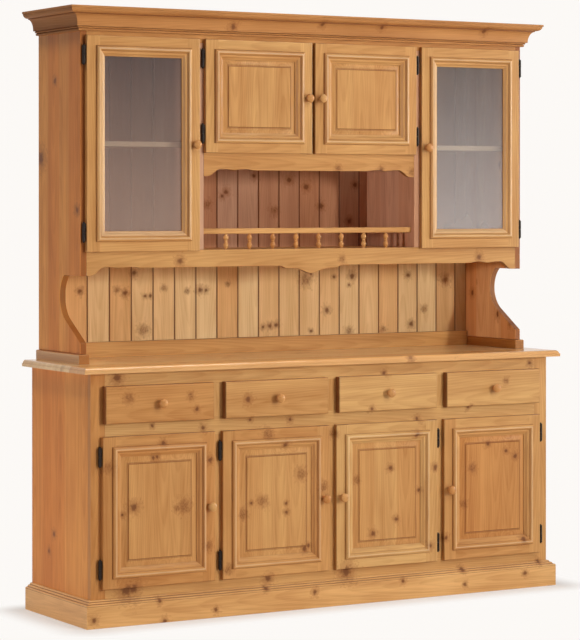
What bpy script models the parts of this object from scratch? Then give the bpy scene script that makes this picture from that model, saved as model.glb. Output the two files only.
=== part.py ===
# Pine dresser: a four-bay cupboard base with drawers, and a hutch with glazed and panelled doors.
# Metres, +Z up, +X to the right, front towards -Y. The origin is on the floor, under the middle of
# the dresser's box.

import math

import bmesh
import bpy
from mathutils import Vector

for old in list(bpy.data.objects):
    bpy.data.objects.remove(old, do_unlink=True)

# Fits
GAP = 0.0003
FRONT_CLEAR = 0.0005
RUN_CLEAR = 0.0006
DRAWER_SIDE_CLEAR = 0.002
DRAWER_TOP_CLEAR = 0.006
PANEL_CLEAR = 0.0005

# Boards
SIDE_T = 0.022
BACK_T = 0.010
SHELF_T = 0.0175
PARTITION_T = 0.022

# Base
BASE_W = 1.900
BASE_D = 0.472
FRAME_T = 0.022
END_STILE_W = 0.054
MUNTIN_W = 0.060
BAYS = 4
BOTTOM_RAIL_TOP = 0.1388
DOOR_OPEN_H = 0.4936
MID_RAIL_H = 0.0634
DRAWER_OPEN_H = 0.1119
TOP_RAIL_H = 0.0523
BASE_SHELF_UP = 0.2600
BASE_SHELF_SETBACK = 0.040
GUIDE_H = 0.030
BACK_FOOT = 0.060

# Plinth, with a top edge of small reeds
PLINTH_FACE_H = 0.0742
REEDS = 3
REED_RISER = 0.0015
REED_H = 0.0050
REED_OUT = 0.0067
REED_TREAD = 0.0020

# Counter top, with a fillet and a quarter round on its edge
COUNTER_T = 0.023
COUNTER_OVER_SIDE = 0.0387
COUNTER_OVER_FRONT = 0.0363
COUNTER_QUIRK = 0.003
COUNTER_ROUND = 0.012

# Doors: a frame with a flat, a raised moulding and a lip over the panel or the glass
DOOR_T = 0.0165
DOOR_ROUND = 0.003
STILE_FLAT = 0.037
MOULD_W = 0.034
MOULD_RISE = 0.0060
CREST_AT = 0.0085
CREST_HALF_W = 0.0075
LIP_BACK = 0.0085
LIP_T = 0.0015
LIP_ROUND_W = 0.0027
LIP_ROUND_H = 0.0017
REBATE = 0.010
DOOR_LAP = 0.01475
DOOR_LAP_Z = 0.012
PANEL_EDGE_T = 0.0070
PANEL_BEVEL_W = 0.025
PANEL_BEVEL_RISE = 0.0035
PANEL_STEP = 0.0022
GLASS_T = 0.004

# Drawers
DRAWER_FRONT_T = 0.0245
DRAWER_ROUND = 0.006
DRAWER_LAP = 0.00825
DRAWER_LAP_Z = 0.008
DRAWER_BOX_D = 0.400
DRAWER_WALL = 0.012
DRAWER_BOTTOM = 0.009
DRAWER_JOINT = 0.004

# Knobs
KNOB_LEN = 0.029
KNOB_R = 0.016
KNOB_FOOT_R = 0.0095
KNOB_NECK_R = 0.0066
KNOB_FOOT_H = 0.003
KNOB_HEAD_H = 0.015
KNOB_UNDER_H = 0.006
KNOB_MARGIN = 0.0065

# Barrel hinges
BARREL_R = 0.0058
BARREL_CLEAR = 0.0022
HINGE_LEN = 0.064
HINGE_INSET = 0.068
HINGE_SPLIT = 0.0005
PIN_R = 0.0028
PIN_CLEAR = 0.0005
PIN_LEN = 0.018
BORE_SPARE = 0.002
FINIAL_LEN = 0.004
FINIAL_R = 0.0032
LEAF_LET_IN = 0.004

# Hutch
HUTCH_INSET = 0.026
HUTCH_D = 0.3404
HUTCH_SIDE_T = 0.023
HUTCH_PARTITION_T = 0.0235
SHOULDER_UP = 0.303
HUTCH_FLOOR_UP = 0.389
HUTCH_FLOOR_T = 0.020
CUPBOARD_H = 0.728
TOP_T = 0.022
FRIEZE_H = 0.084
CORNICE_UP = 0.006
NICHE_H = 0.345
SHELF_UP = 0.361
HUTCH_SHELF_SETBACK = 0.030
HUTCH_DOOR_SIDE = 0.0168
HUTCH_DOOR_GAP = 0.0224
CENTRE_DOOR_W = 0.4376
CENTRE_DOOR_GAP = 0.012
HUTCH_DOOR_DROP = 0.004
HUTCH_DOOR_LAP = 0.0134

# Feet and back rail of the hutch
FOOT_H = 0.0335
FOOT_OUT = 0.010
FOOT_IN = 0.005
FOOT_ROUND = 0.004
BACK_RAIL_H = 0.0545
BACK_RAIL_T = 0.027

# V-grooved back boards
HUTCH_BACK_T = 0.012
BOARD_W = 0.0882
FIRST_BOARD_W = 0.0735
GROOVE_W = 0.006
GROOVE_D = 0.003

# Scoop in the front of each hutch side
SCOOP_R = 0.0945
SCOOP_DEEP = 0.072
SCOOP_TOP_DEG = 52.0
SCOOP_TOE_DEG = -58.0

# Scallops of the apron and of the niche rail
RAIL_T = 0.020
APRON_UP = 0.025
NICHE_RAIL_H = 0.065
NICHE_BLOCK_H = 0.0205
BLOCK_W = 0.017
OGEE_W = 0.051
CUSP_AT = 0.127
LOBE_END = 0.204
LOBE_RISE = 0.0045
APRON_STEP_OUT = 0.130
APRON_STEP_W = 0.027
APRON_STEP_H = 0.0095
APRON_DROP_W = 0.068
APRON_DROP_H = 0.0187

# Gallery in front of the niche
GALLERY_SETBACK = 0.020
GALLERY_RAIL = 0.020
SPINDLE_H = 0.0545
SPINDLES = 8
SPINDLE_END_GAP = 0.106
SPINDLE_NECK_R = 0.0046
SPINDLE_SWELL = 0.0052

# Cornice profile, from its lower edge up
CORNICE_LIP = 0.004
CORNICE_BEAD_R = 0.0125
CORNICE_FILLET = 0.003
CORNICE_STEP = 0.004
CORNICE_COVE_OUT = 0.0195
CORNICE_COVE_H = 0.0405
CORNICE_BEVEL_OUT = 0.0175
CORNICE_BEVEL_H = 0.0160
CORNICE_NOSE = 0.003
CORNICE_TOP_H = 0.0075

# Facets of round pieces
KNOB_SIDES = 12
SPINDLE_SIDES = 8
BARREL_SIDES = 8
SPINDLE_RINGS = 12

# Colours
PINE = (0.56, 0.29, 0.11)
PINE_INSIDE = (0.40, 0.19, 0.08)
GLASS = (0.55, 0.55, 0.54)

# Derived places, shared by the pieces below
BACK_Y = (BASE_D + FRONT_CLEAR + DRAWER_FRONT_T + GAP + KNOB_LEN) / 2
FRAME_Y = BACK_Y - BASE_D
CARCASS_Y = FRAME_Y + FRAME_T + GAP
BASE_H = BOTTOM_RAIL_TOP + DOOR_OPEN_H + MID_RAIL_H + DRAWER_OPEN_H + TOP_RAIL_H
DRAWER_OPEN_Z = BOTTOM_RAIL_TOP + DOOR_OPEN_H + MID_RAIL_H
BAY_OPEN_W = (BASE_W - 2 * END_STILE_W - (BAYS - 1) * MUNTIN_W) / BAYS
BASE_INNER = BASE_W / 2 - SIDE_T - GAP
COUNTER_Z = BASE_H + GAP
COUNTER_TOP = COUNTER_Z + COUNTER_T

HUTCH_W = BASE_W - 2 * HUTCH_INSET
HUTCH_Y = BACK_Y - HUTCH_D
HUTCH_INNER = HUTCH_W / 2 - HUTCH_SIDE_T - GAP
HUTCH_BACK_Y = BACK_Y - HUTCH_BACK_T - GAP
FOOT_TOP = COUNTER_TOP + GAP + FOOT_H
SHOULDER_Z = COUNTER_TOP + SHOULDER_UP
HUTCH_FLOOR_TOP = COUNTER_TOP + HUTCH_FLOOR_UP
CUPBOARD_TOP = HUTCH_FLOOR_TOP + CUPBOARD_H
CENTRE_FLOOR_TOP = HUTCH_FLOOR_TOP + NICHE_H
CORNICE_Z = CUPBOARD_TOP + TOP_T + CORNICE_UP
FRIEZE_TOP = CUPBOARD_TOP + TOP_T + FRIEZE_H

CENTRE_DOOR_EDGE = CENTRE_DOOR_GAP / 2 + CENTRE_DOOR_W
GLAZED_DOOR_EDGE = CENTRE_DOOR_EDGE + HUTCH_DOOR_GAP
PARTITION_X = CENTRE_DOOR_EDGE + HUTCH_DOOR_GAP / 2 + GAP
NICHE_HALF = PARTITION_X - HUTCH_PARTITION_T / 2

HINGE_OUT = BARREL_R + BARREL_CLEAR
HINGE_FORWARD = FRONT_CLEAR + DOOR_T / 2
LIP_AT = STILE_FLAT + MOULD_W
REBATE_AT = LIP_AT - REBATE
KNOB_INSET = STILE_FLAT - KNOB_FOOT_R - KNOB_MARGIN


# Making objects

def material(name, colour, roughness, metallic=0.0, transmission=0.0):
    made = bpy.data.materials.new(name)
    made.use_nodes = True
    shader = made.node_tree.nodes["Principled BSDF"]
    shader.inputs["Base Color"].default_value = (*colour, 1.0)
    shader.inputs["Roughness"].default_value = roughness
    shader.inputs["Metallic"].default_value = metallic
    shader.inputs["Transmission Weight"].default_value = transmission
    return made


def pivot(name, at):
    empty = bpy.data.objects.new(name, None)
    bpy.context.scene.collection.objects.link(empty)
    empty.location = at
    return empty


def add(name, bm, colour=PINE, roughness=0.45, parent=None, smooth=False):
    """A shape drawn in world coordinates becomes an object, with its origin at its parent's."""
    bmesh.ops.recalc_face_normals(bm, faces=bm.faces)
    origin = Vector(parent.location) if parent else Vector()
    bmesh.ops.translate(bm, vec=-origin, verts=bm.verts)
    mesh = bpy.data.meshes.new(name)
    bm.to_mesh(mesh)
    bm.free()
    clear = 1.0 if colour == GLASS else 0.0
    mesh.materials.append(material(name + "_finish", colour, roughness, transmission=clear))
    if smooth:
        mesh.shade_smooth()
        mesh.set_sharp_from_angle(angle=math.radians(40))
    made = bpy.data.objects.new(name, mesh)
    bpy.context.scene.collection.objects.link(made)
    made.parent = parent
    return made


def helper(name, bm, parent=None):
    """A shape that only cuts or joins another one."""
    made = add(name, bm, parent=parent)
    made.hide_render = True
    made.display_type = "WIRE"
    return made


def boolean(target, other, operation):
    step = target.modifiers.new(operation.lower() + "_" + other.name, "BOOLEAN")
    step.operation = operation
    step.solver = "EXACT"
    step.object = other


# Drawing shapes

def merged(*shapes):
    """Several drawn shapes in one bmesh."""
    whole = bmesh.new()
    for shape in shapes:
        loose = bpy.data.meshes.new("shape")
        shape.to_mesh(loose)
        shape.free()
        whole.from_mesh(loose)
        bpy.data.meshes.remove(loose)
    return whole


def block(x, y, z):
    bm = bmesh.new()
    bmesh.ops.create_cube(bm, size=1.0)
    bmesh.ops.scale(bm, vec=(x[1] - x[0], y[1] - y[0], z[1] - z[0]), verts=bm.verts)
    centre = ((x[0] + x[1]) / 2, (y[0] + y[1]) / 2, (z[0] + z[1]) / 2)
    bmesh.ops.translate(bm, vec=centre, verts=bm.verts)
    return bm


def extruded(outline, along):
    """A closed outline of 3-D points, pulled out along a vector."""
    bm = bmesh.new()
    face = bm.faces.new([bm.verts.new(point) for point in outline])
    pulled = bmesh.ops.extrude_face_region(bm, geom=[face])["geom"]
    new = [item for item in pulled if isinstance(item, bmesh.types.BMVert)]
    bmesh.ops.translate(bm, vec=along, verts=new)
    return bm


def loft(rings, closed=False):
    """Rings of as many points each, joined in turn: to the first again, or capped at both ends."""
    bm = bmesh.new()
    loops = [[bm.verts.new(point) for point in ring] for ring in rings]
    pairs = list(zip(loops, loops[1:]))
    if closed:
        pairs.append((loops[-1], loops[0]))
    for one, two in pairs:
        for i in range(len(one)):
            j = (i + 1) % len(one)
            bm.faces.new((one[i], one[j], two[j], two[i]))
    if not closed:
        bm.faces.new(loops[0])
        bm.faces.new(loops[-1])
    return bm


def turned(profile, sides, at, axis):
    """A lathe profile of (radius, length) points, from axis to axis, spun about a direction."""
    bm = bmesh.new()
    verts = [bm.verts.new((radius, 0.0, length)) for radius, length in profile]
    edges = [bm.edges.new(pair) for pair in zip(verts, verts[1:])]
    bmesh.ops.spin(
        bm, geom=verts + edges, axis=(0, 0, 1), cent=(0, 0, 0), angle=2 * math.pi, steps=sides
    )
    bmesh.ops.remove_doubles(bm, verts=bm.verts, dist=1e-6)
    turn = Vector((0, 0, 1)).rotation_difference(Vector(axis)).to_matrix()
    bmesh.ops.rotate(bm, matrix=turn, cent=(0, 0, 0), verts=bm.verts)
    bmesh.ops.translate(bm, vec=at, verts=bm.verts)
    return bm


def arc(centre, radii, first, last, steps):
    """Points on an ellipse, from one angle to another in degrees."""
    points = []
    for i in range(steps + 1):
        angle = math.radians(first + (last - first) * i / steps)
        points.append((centre[0] + radii[0] * math.cos(angle), centre[1] + radii[1] * math.sin(angle)))
    return points


def ease(start, end, steps):
    """Points on an S curve from one point to another, level at both ends, without the first."""
    points = []
    for i in range(1, steps + 1):
        share = i / steps
        lift = (1 - math.cos(math.pi * share)) / 2
        points.append((start[0] + (end[0] - start[0]) * share, start[1] + (end[1] - start[1]) * lift))
    return points


def around(profile, half, front, back, z):
    """A moulding of (out, up) points that runs up the left side, along the front and down the right."""
    def ring(x, y, side, ahead):
        return [(x + side * out, y + ahead * out, z + up) for out, up in profile]

    return loft([
        ring(-half, back, -1, 0),
        ring(-half, front, -1, -1),
        ring(half, front, 1, -1),
        ring(half, back, 1, 0),
    ])


def framed(profile, x, z, back):
    """A mitred frame of (inward, forward) points, round a rectangle in front of the plane back."""
    corners = ((x[0], z[0], 1, 1), (x[1], z[0], -1, 1), (x[1], z[1], -1, -1), (x[0], z[1], 1, -1))
    rings = []
    for cx, cz, dx, dz in corners:
        rings.append([(cx + dx * inward, back - ahead, cz + dz * inward) for inward, ahead in profile])
    return loft(rings, closed=True)


def stepped(levels, x, z, back):
    """A rectangle that changes size as it comes forward, from (inset, forward) levels."""
    rings = []
    for inset, ahead in levels:
        x0, x1 = x[0] + inset, x[1] - inset
        z0, z1 = z[0] + inset, z[1] - inset
        y = back - ahead
        rings.append([(x0, y, z0), (x1, y, z0), (x1, y, z1), (x0, y, z1)])
    return loft(rings)


# Parts that repeat

def hinge_half(axis, end, tip, leaf, reach, inner_radius, inner_z):
    """Half a barrel about a vertical axis, with a leaf towards its carrier.

    It runs from its meeting end to its tip, which carries a small finial. The inner ring at the
    meeting end goes up into a pin or down into a bore, as far as inner_z.
    """
    heading = math.atan2(leaf[1], leaf[0])
    bm = bmesh.new()

    def ring(radius, z):
        verts = []
        for i in range(BARREL_SIDES):
            angle = heading + (i + 0.5) * 2 * math.pi / BARREL_SIDES
            point = (axis[0] + radius * math.cos(angle), axis[1] + radius * math.sin(angle), z)
            verts.append(bm.verts.new(point))
        return verts

    def stretched(barrel):
        away = Vector((leaf[0] * reach, leaf[1] * reach, 0))
        return [bm.verts.new(barrel[-1].co + away), bm.verts.new(barrel[0].co + away)]

    def walls(one, two):
        for i in range(len(one)):
            j = (i + 1) % len(one)
            bm.faces.new((one[i], one[j], two[j], two[i]))

    finial = FINIAL_LEN if tip > end else -FINIAL_LEN
    at_end = ring(BARREL_R, end)
    at_tip = ring(BARREL_R, tip)
    leaf_end = stretched(at_end)
    leaf_tip = stretched(at_tip)
    for i in range(BARREL_SIDES - 1):
        bm.faces.new((at_end[i], at_end[i + 1], at_tip[i + 1], at_tip[i]))
    bm.faces.new((at_end[-1], leaf_end[0], leaf_tip[0], at_tip[-1]))
    bm.faces.new((leaf_end[0], leaf_end[1], leaf_tip[1], leaf_tip[0]))
    bm.faces.new((leaf_end[1], at_end[0], at_tip[0], leaf_tip[1]))
    bm.faces.new((at_end[-1], at_end[0], leaf_end[1], leaf_end[0]))
    bm.faces.new((at_tip[-1], at_tip[0], leaf_tip[1], leaf_tip[0]))
    mouth = ring(inner_radius, end)
    inner = ring(inner_radius, inner_z)
    walls(at_end, mouth)
    walls(mouth, inner)
    bm.faces.new(inner)
    knuckle = ring(FINIAL_R, tip + finial)
    walls(at_tip, knuckle)
    bm.faces.new(knuckle)
    return bm


def hinge_axis(edge, hand, front):
    """The axis of a door's hinges: outside its hinged edge, at half its thickness."""
    return (edge + hand * HINGE_OUT, front - HINGE_FORWARD)


def hinge_heights(z):
    return (z[0] + HINGE_INSET, z[1] - HINGE_INSET)


def fixed_hinges(edge, hand, front, z):
    """The lower halves of a door's two hinges, with their pins, let into what carries the door."""
    axis = hinge_axis(edge, hand, front)
    halves = []
    for middle in hinge_heights(z):
        end = middle - HINGE_SPLIT / 2
        tip = middle - HINGE_LEN / 2
        reach = HINGE_FORWARD - BARREL_R * math.cos(math.pi / BARREL_SIDES) + LEAF_LET_IN
        halves.append(hinge_half(axis, end, tip, (0, 1), reach, PIN_R, end + PIN_LEN))
    return merged(*halves)


def moving_hinges(edge, hand, front, z):
    """The upper halves, bored for the pins, let into the door's edge."""
    axis = hinge_axis(edge, hand, front)
    bore = (PIN_R + PIN_CLEAR) / math.cos(math.pi / BARREL_SIDES)
    halves = []
    for middle in hinge_heights(z):
        end = middle + HINGE_SPLIT / 2
        tip = middle + HINGE_LEN / 2
        reach = HINGE_OUT - BARREL_R * math.cos(math.pi / BARREL_SIDES) + LEAF_LET_IN
        halves.append(hinge_half(axis, end, tip, (-hand, 0), reach, bore, end + PIN_LEN + BORE_SPARE))
    return merged(*halves)


def door_profile():
    """Section of a door's frame, as (inward, forward) points from its back outer corner."""
    round_edge = arc((DOOR_ROUND, DOOR_T - DOOR_ROUND), (DOOR_ROUND, DOOR_ROUND), 180, 90, 2)
    crest = (STILE_FLAT + CREST_AT, DOOR_T)
    swell = arc(crest, (CREST_HALF_W, MOULD_RISE), 165, 60, 4)
    foot = (LIP_AT - LIP_ROUND_W, LIP_BACK + LIP_T + LIP_ROUND_H)
    fall = ease(swell[-1], foot, 3)
    return (
        [(0.0, 0.0)] + round_edge + [(STILE_FLAT, DOOR_T)] + swell + fall
        + [(LIP_AT, LIP_BACK + LIP_T), (LIP_AT, LIP_BACK), (REBATE_AT, LIP_BACK), (REBATE_AT, 0.0)]
    )


def knob(name, x, front, z, parent):
    """A turned mushroom knob on a face, its head an ellipse over a waisted neck."""
    face = front - GAP
    waist = KNOB_LEN - KNOB_HEAD_H
    neck_out = KNOB_FOOT_R - KNOB_NECK_R
    half = (waist - KNOB_FOOT_H) / 2
    neck = arc((KNOB_FOOT_R, KNOB_FOOT_H + half), (neck_out, half), 270, 90, 4)
    under = arc((KNOB_FOOT_R, waist + KNOB_UNDER_H), (KNOB_R - KNOB_FOOT_R, KNOB_UNDER_H), 270, 360, 2)
    head = arc((0.0, waist + KNOB_UNDER_H), (KNOB_R, KNOB_HEAD_H - KNOB_UNDER_H), 0, 90, 4)
    profile = [(0.0, 0.0), (KNOB_FOOT_R, 0.0)] + neck + under[1:] + head[1:-1] + [(0.0, KNOB_LEN)]
    bm = turned(profile, KNOB_SIDES, (x, face, z), (0, -1, 0))
    return add(name, bm, roughness=0.4, parent=parent, smooth=True)


def door_panel(name, x, z, back, parent):
    """A raised and fielded panel: a thin edge in the rebate, a bevel and a stepped field."""
    edge = REBATE_AT + PANEL_CLEAR
    seat = back - (LIP_BACK - PANEL_CLEAR - PANEL_EDGE_T)
    clear_of_lip = LIP_AT + PANEL_CLEAR - edge
    field = clear_of_lip + PANEL_BEVEL_W
    levels = [
        (0.0, 0.0),
        (0.0, PANEL_EDGE_T),
        (clear_of_lip, PANEL_EDGE_T),
        (field, PANEL_EDGE_T + PANEL_BEVEL_RISE),
        (field + PANEL_STEP / 2, PANEL_EDGE_T + PANEL_BEVEL_RISE + PANEL_STEP),
    ]
    bm = stepped(levels, (x[0] + edge, x[1] - edge), (z[0] + edge, z[1] - edge), seat)
    return add(name, bm, parent=parent)


def door_glass(name, x, z, back, parent):
    edge = REBATE_AT + PANEL_CLEAR
    front = back - (LIP_BACK - PANEL_CLEAR)
    bm = block((x[0] + edge, x[1] - edge), (front, front + GLASS_T), (z[0] + edge, z[1] - edge))
    return add(name, bm, colour=GLASS, roughness=0.05, parent=parent)


def door(name, x, z, front, hand, glazed=False):
    """A door over the plane front, hung on its left (hand -1) or its right (hand 1)."""
    edge = x[0] if hand < 0 else x[1]
    axis = hinge_axis(edge, hand, front)
    swing = pivot(name + "_hinge", (axis[0], axis[1], (z[0] + z[1]) / 2))
    back = front - FRONT_CLEAR
    frame = add(name + "_frame", framed(door_profile(), x, z, back), parent=swing)
    barrels = helper(name + "_barrels", moving_hinges(edge, hand, front, z), parent=swing)
    boolean(frame, barrels, "UNION")
    if glazed:
        door_glass(name + "_glass", x, z, back, swing)
    else:
        door_panel(name + "_panel", x, z, back, swing)
    free = x[1] if hand < 0 else x[0]
    knob(name + "_knob", free + hand * KNOB_INSET, back - DOOR_T, (z[0] + z[1]) / 2, swing)


def drawer(name, x_open):
    """A drawer: a rounded front over the frame, and an open box that runs through the opening."""
    x = (x_open[0] - DRAWER_LAP, x_open[1] + DRAWER_LAP)
    z = (DRAWER_OPEN_Z - DRAWER_LAP_Z, DRAWER_OPEN_Z + DRAWER_OPEN_H + DRAWER_LAP_Z)
    back = FRAME_Y - FRONT_CLEAR
    runner = pivot(name + "_runner", ((x[0] + x[1]) / 2, back, DRAWER_OPEN_Z))
    rounding = arc((DRAWER_ROUND, DRAWER_FRONT_T - DRAWER_ROUND), (DRAWER_ROUND, DRAWER_ROUND), 180, 90, 3)
    front = add(name, stepped([(0.0, 0.0)] + rounding, x, z, back), parent=runner)
    box_x = (x_open[0] + DRAWER_SIDE_CLEAR, x_open[1] - DRAWER_SIDE_CLEAR)
    box_z = (DRAWER_OPEN_Z + RUN_CLEAR, DRAWER_OPEN_Z + DRAWER_OPEN_H - DRAWER_TOP_CLEAR)
    box_y = (back - DRAWER_JOINT, back + DRAWER_BOX_D)
    box = helper(name + "_box", block(box_x, box_y, box_z), parent=runner)
    hollow = block(
        (box_x[0] + DRAWER_WALL, box_x[1] - DRAWER_WALL),
        (back + GAP, box_y[1] - DRAWER_WALL),
        (box_z[0] + DRAWER_BOTTOM, box_z[1] + DRAWER_WALL),
    )
    boolean(front, box, "UNION")
    boolean(front, helper(name + "_hollow", hollow, parent=runner), "DIFFERENCE")
    knob(name.replace("drawer", "drawer_knob"), (x[0] + x[1]) / 2, back - DRAWER_FRONT_T,
         (z[0] + z[1]) / 2, runner)


# Base

def bay_opening(bay):
    left = -BASE_W / 2 + END_STILE_W + bay * (BAY_OPEN_W + MUNTIN_W)
    return (left, left + BAY_OPEN_W)


def base_door_span(bay):
    left, right = bay_opening(bay)
    return (left - DOOR_LAP, right + DOOR_LAP)


def base_door_hand(bay):
    return -1 if bay < BAYS / 2 else 1


BASE_DOOR_Z = (BOTTOM_RAIL_TOP - DOOR_LAP_Z, BOTTOM_RAIL_TOP + DOOR_OPEN_H + DOOR_LAP_Z)


def base_face_frame():
    """Uprights and rails glued into one lattice, cut open at each drawer and door."""
    solid = block((-BASE_W / 2, BASE_W / 2), (FRAME_Y, FRAME_Y + FRAME_T), (0.0, BASE_H))
    frame = add("base_face_frame", solid)
    through = (FRAME_Y - FRAME_T, FRAME_Y + 2 * FRAME_T)
    openings = []
    pins = []
    for bay in range(BAYS):
        door_z = (BOTTOM_RAIL_TOP, BOTTOM_RAIL_TOP + DOOR_OPEN_H)
        drawer_z = (DRAWER_OPEN_Z, DRAWER_OPEN_Z + DRAWER_OPEN_H)
        openings.append(block(bay_opening(bay), through, door_z))
        openings.append(block(bay_opening(bay), through, drawer_z))
        hand = base_door_hand(bay)
        span = base_door_span(bay)
        edge = span[0] if hand < 0 else span[1]
        pins.append(fixed_hinges(edge, hand, FRAME_Y, BASE_DOOR_Z))
    boolean(frame, helper("face_frame_openings", merged(*openings)), "DIFFERENCE")
    boolean(frame, helper("face_frame_hinges", merged(*pins)), "UNION")


def base_carcass():
    inside_x = (-BASE_INNER, BASE_INNER)
    inside_y = (CARCASS_Y, BACK_Y - BACK_T - GAP)
    for side, name in ((-1, "base_side_left"), (1, "base_side_right")):
        x = sorted((side * BASE_W / 2, side * (BASE_W / 2 - SIDE_T)))
        add(name, block(x, (CARCASS_Y, BACK_Y), (0.0, BASE_H)))
    floor_z = (BOTTOM_RAIL_TOP - SHELF_T, BOTTOM_RAIL_TOP)
    add("base_floor", block(inside_x, inside_y, floor_z), colour=PINE_INSIDE)
    add("base_back", block(inside_x, (BACK_Y - BACK_T, BACK_Y), (BACK_FOOT, BASE_H)), colour=PINE_INSIDE)
    deck_z = DRAWER_OPEN_Z - SHELF_T
    partition_z = (BOTTOM_RAIL_TOP + GAP, deck_z - GAP)
    partition_x = (-PARTITION_T / 2, PARTITION_T / 2)
    add("base_partition", block(partition_x, inside_y, partition_z), colour=PINE_INSIDE)
    shelf_z = (BOTTOM_RAIL_TOP + BASE_SHELF_UP, BOTTOM_RAIL_TOP + BASE_SHELF_UP + SHELF_T)
    shelf_y = (CARCASS_Y + BASE_SHELF_SETBACK, inside_y[1])
    for side, name in ((-1, "base_shelf_left"), (1, "base_shelf_right")):
        x = sorted((side * (PARTITION_T / 2 + GAP), side * BASE_INNER))
        add(name, block(x, shelf_y, shelf_z), colour=PINE_INSIDE)


def drawer_deck():
    """A dust board under the drawers, with a guide on it beside each drawer."""
    low = DRAWER_OPEN_Z - SHELF_T
    high = DRAWER_OPEN_Z + GUIDE_H
    outline = [(-BASE_INNER, low), (BASE_INNER, low), (BASE_INNER, high)]
    for bay in reversed(range(BAYS)):
        left, right = bay_opening(bay)
        outline += [(right, high), (right, DRAWER_OPEN_Z), (left, DRAWER_OPEN_Z), (left, high)]
    outline.append((-BASE_INNER, high))
    depth = BACK_Y - BACK_T - GAP - CARCASS_Y
    bm = extruded([(x, CARCASS_Y, z) for x, z in outline], (0, depth, 0))
    add("drawer_deck", bm, colour=PINE_INSIDE)


def plinth():
    """A mitred skirting round the front and sides, with a run of reeds along its top."""
    out = REEDS * (REED_OUT + REED_TREAD)
    up = PLINTH_FACE_H
    profile = [(GAP, 0.0), (GAP + out, 0.0), (GAP + out, up)]
    for _ in range(REEDS):
        up += REED_RISER
        out -= REED_OUT
        profile += arc((GAP + out, up), (REED_OUT, REED_H), 0, 90, 3)
        up += REED_H
        out -= REED_TREAD
        profile.append((GAP + out, up))
    add("plinth", around(profile, BASE_W / 2, FRAME_Y, BACK_Y, 0.0))


def counter_top():
    """A slab with a fillet and a quarter round on its front and ends, and a square back."""
    square = COUNTER_T - COUNTER_ROUND
    rounding = arc((COUNTER_QUIRK + COUNTER_ROUND, square), (COUNTER_ROUND, COUNTER_ROUND), 180, 90, 4)
    rings = []
    for inset, up in [(0.0, 0.0), (0.0, square - GAP)] + rounding:
        x = BASE_W / 2 + COUNTER_OVER_SIDE - inset
        y = FRAME_Y - COUNTER_OVER_FRONT + inset
        z = COUNTER_Z + up
        rings.append([(-x, y, z), (x, y, z), (x, BACK_Y, z), (-x, BACK_Y, z)])
    add("counter_top", loft(rings))


# Hutch

def hutch_feet():
    for side, name in ((-1, "hutch_foot_left"), (1, "hutch_foot_right")):
        outer = side * (HUTCH_W / 2 + FOOT_OUT)
        inner = side * (HUTCH_W / 2 - HUTCH_SIDE_T - FOOT_IN)
        front = HUTCH_Y - FOOT_OUT
        rings = []
        for inset, z in ((0.0, COUNTER_TOP + GAP), (0.0, FOOT_TOP - FOOT_ROUND), (FOOT_ROUND, FOOT_TOP)):
            x0, x1 = outer - side * inset, inner + side * inset
            y0 = front + inset
            rings.append([(x0, y0, z), (x1, y0, z), (x1, BACK_Y, z), (x0, BACK_Y, z)])
        add(name, loft(rings))
    half = HUTCH_W / 2 - HUTCH_SIDE_T - FOOT_IN - GAP
    rail_z = (COUNTER_TOP + GAP, COUNTER_TOP + GAP + BACK_RAIL_H)
    add("hutch_back_rail", block((-half, half), (BACK_Y - BACK_RAIL_T, BACK_Y), rail_z))


def hutch_side_outline():
    """Front to back and up, as (y, z): a scoop leaves a foot below and a shoulder above."""
    centre = (HUTCH_Y + SCOOP_DEEP, SHOULDER_Z - SCOOP_R * math.sin(math.radians(SCOOP_TOP_DEG)))
    scoop = arc(centre, (SCOOP_R, SCOOP_R), SCOOP_TOE_DEG, SCOOP_TOP_DEG, 10)
    slope = math.tan(math.radians(90 + SCOOP_TOE_DEG))
    toe = (HUTCH_Y, scoop[0][1] - (scoop[0][0] - HUTCH_Y) * slope)
    low = FOOT_TOP + GAP
    return (
        [(BACK_Y, low), (HUTCH_Y, low), toe] + scoop
        + [(HUTCH_Y, SHOULDER_Z), (HUTCH_Y, FRIEZE_TOP), (BACK_Y, FRIEZE_TOP)]
    )


GLAZED_DOOR_Z = (HUTCH_FLOOR_TOP - HUTCH_DOOR_DROP, CUPBOARD_TOP + HUTCH_DOOR_LAP)
CENTRE_DOOR_Z = (CENTRE_FLOOR_TOP - HUTCH_DOOR_DROP, CUPBOARD_TOP + HUTCH_DOOR_LAP)
GLAZED_OUTER = HUTCH_W / 2 - HUTCH_DOOR_SIDE


def hutch_uprights():
    """Sides and partitions, each with the fixed hinge halves of the door that it carries."""
    for side, name in ((-1, "hutch_side_left"), (1, "hutch_side_right")):
        inner = side * (HUTCH_W / 2 - HUTCH_SIDE_T)
        outline = [(inner, y, z) for y, z in hutch_side_outline()]
        board = add(name, extruded(outline, (side * HUTCH_SIDE_T, 0, 0)))
        hinges = fixed_hinges(side * GLAZED_OUTER, side, HUTCH_Y, GLAZED_DOOR_Z)
        boolean(board, helper(name + "_hinges", hinges), "UNION")
    for side, name in ((-1, "hutch_partition_left"), (1, "hutch_partition_right")):
        middle = side * PARTITION_X
        x = (middle - HUTCH_PARTITION_T / 2, middle + HUTCH_PARTITION_T / 2)
        z = (HUTCH_FLOOR_TOP + GAP, CUPBOARD_TOP - GAP)
        board = add(name, block(x, (HUTCH_Y, HUTCH_BACK_Y), z))
        hinges = fixed_hinges(side * CENTRE_DOOR_EDGE, side, HUTCH_Y, CENTRE_DOOR_Z)
        boolean(board, helper(name + "_hinges", hinges), "UNION")


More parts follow.
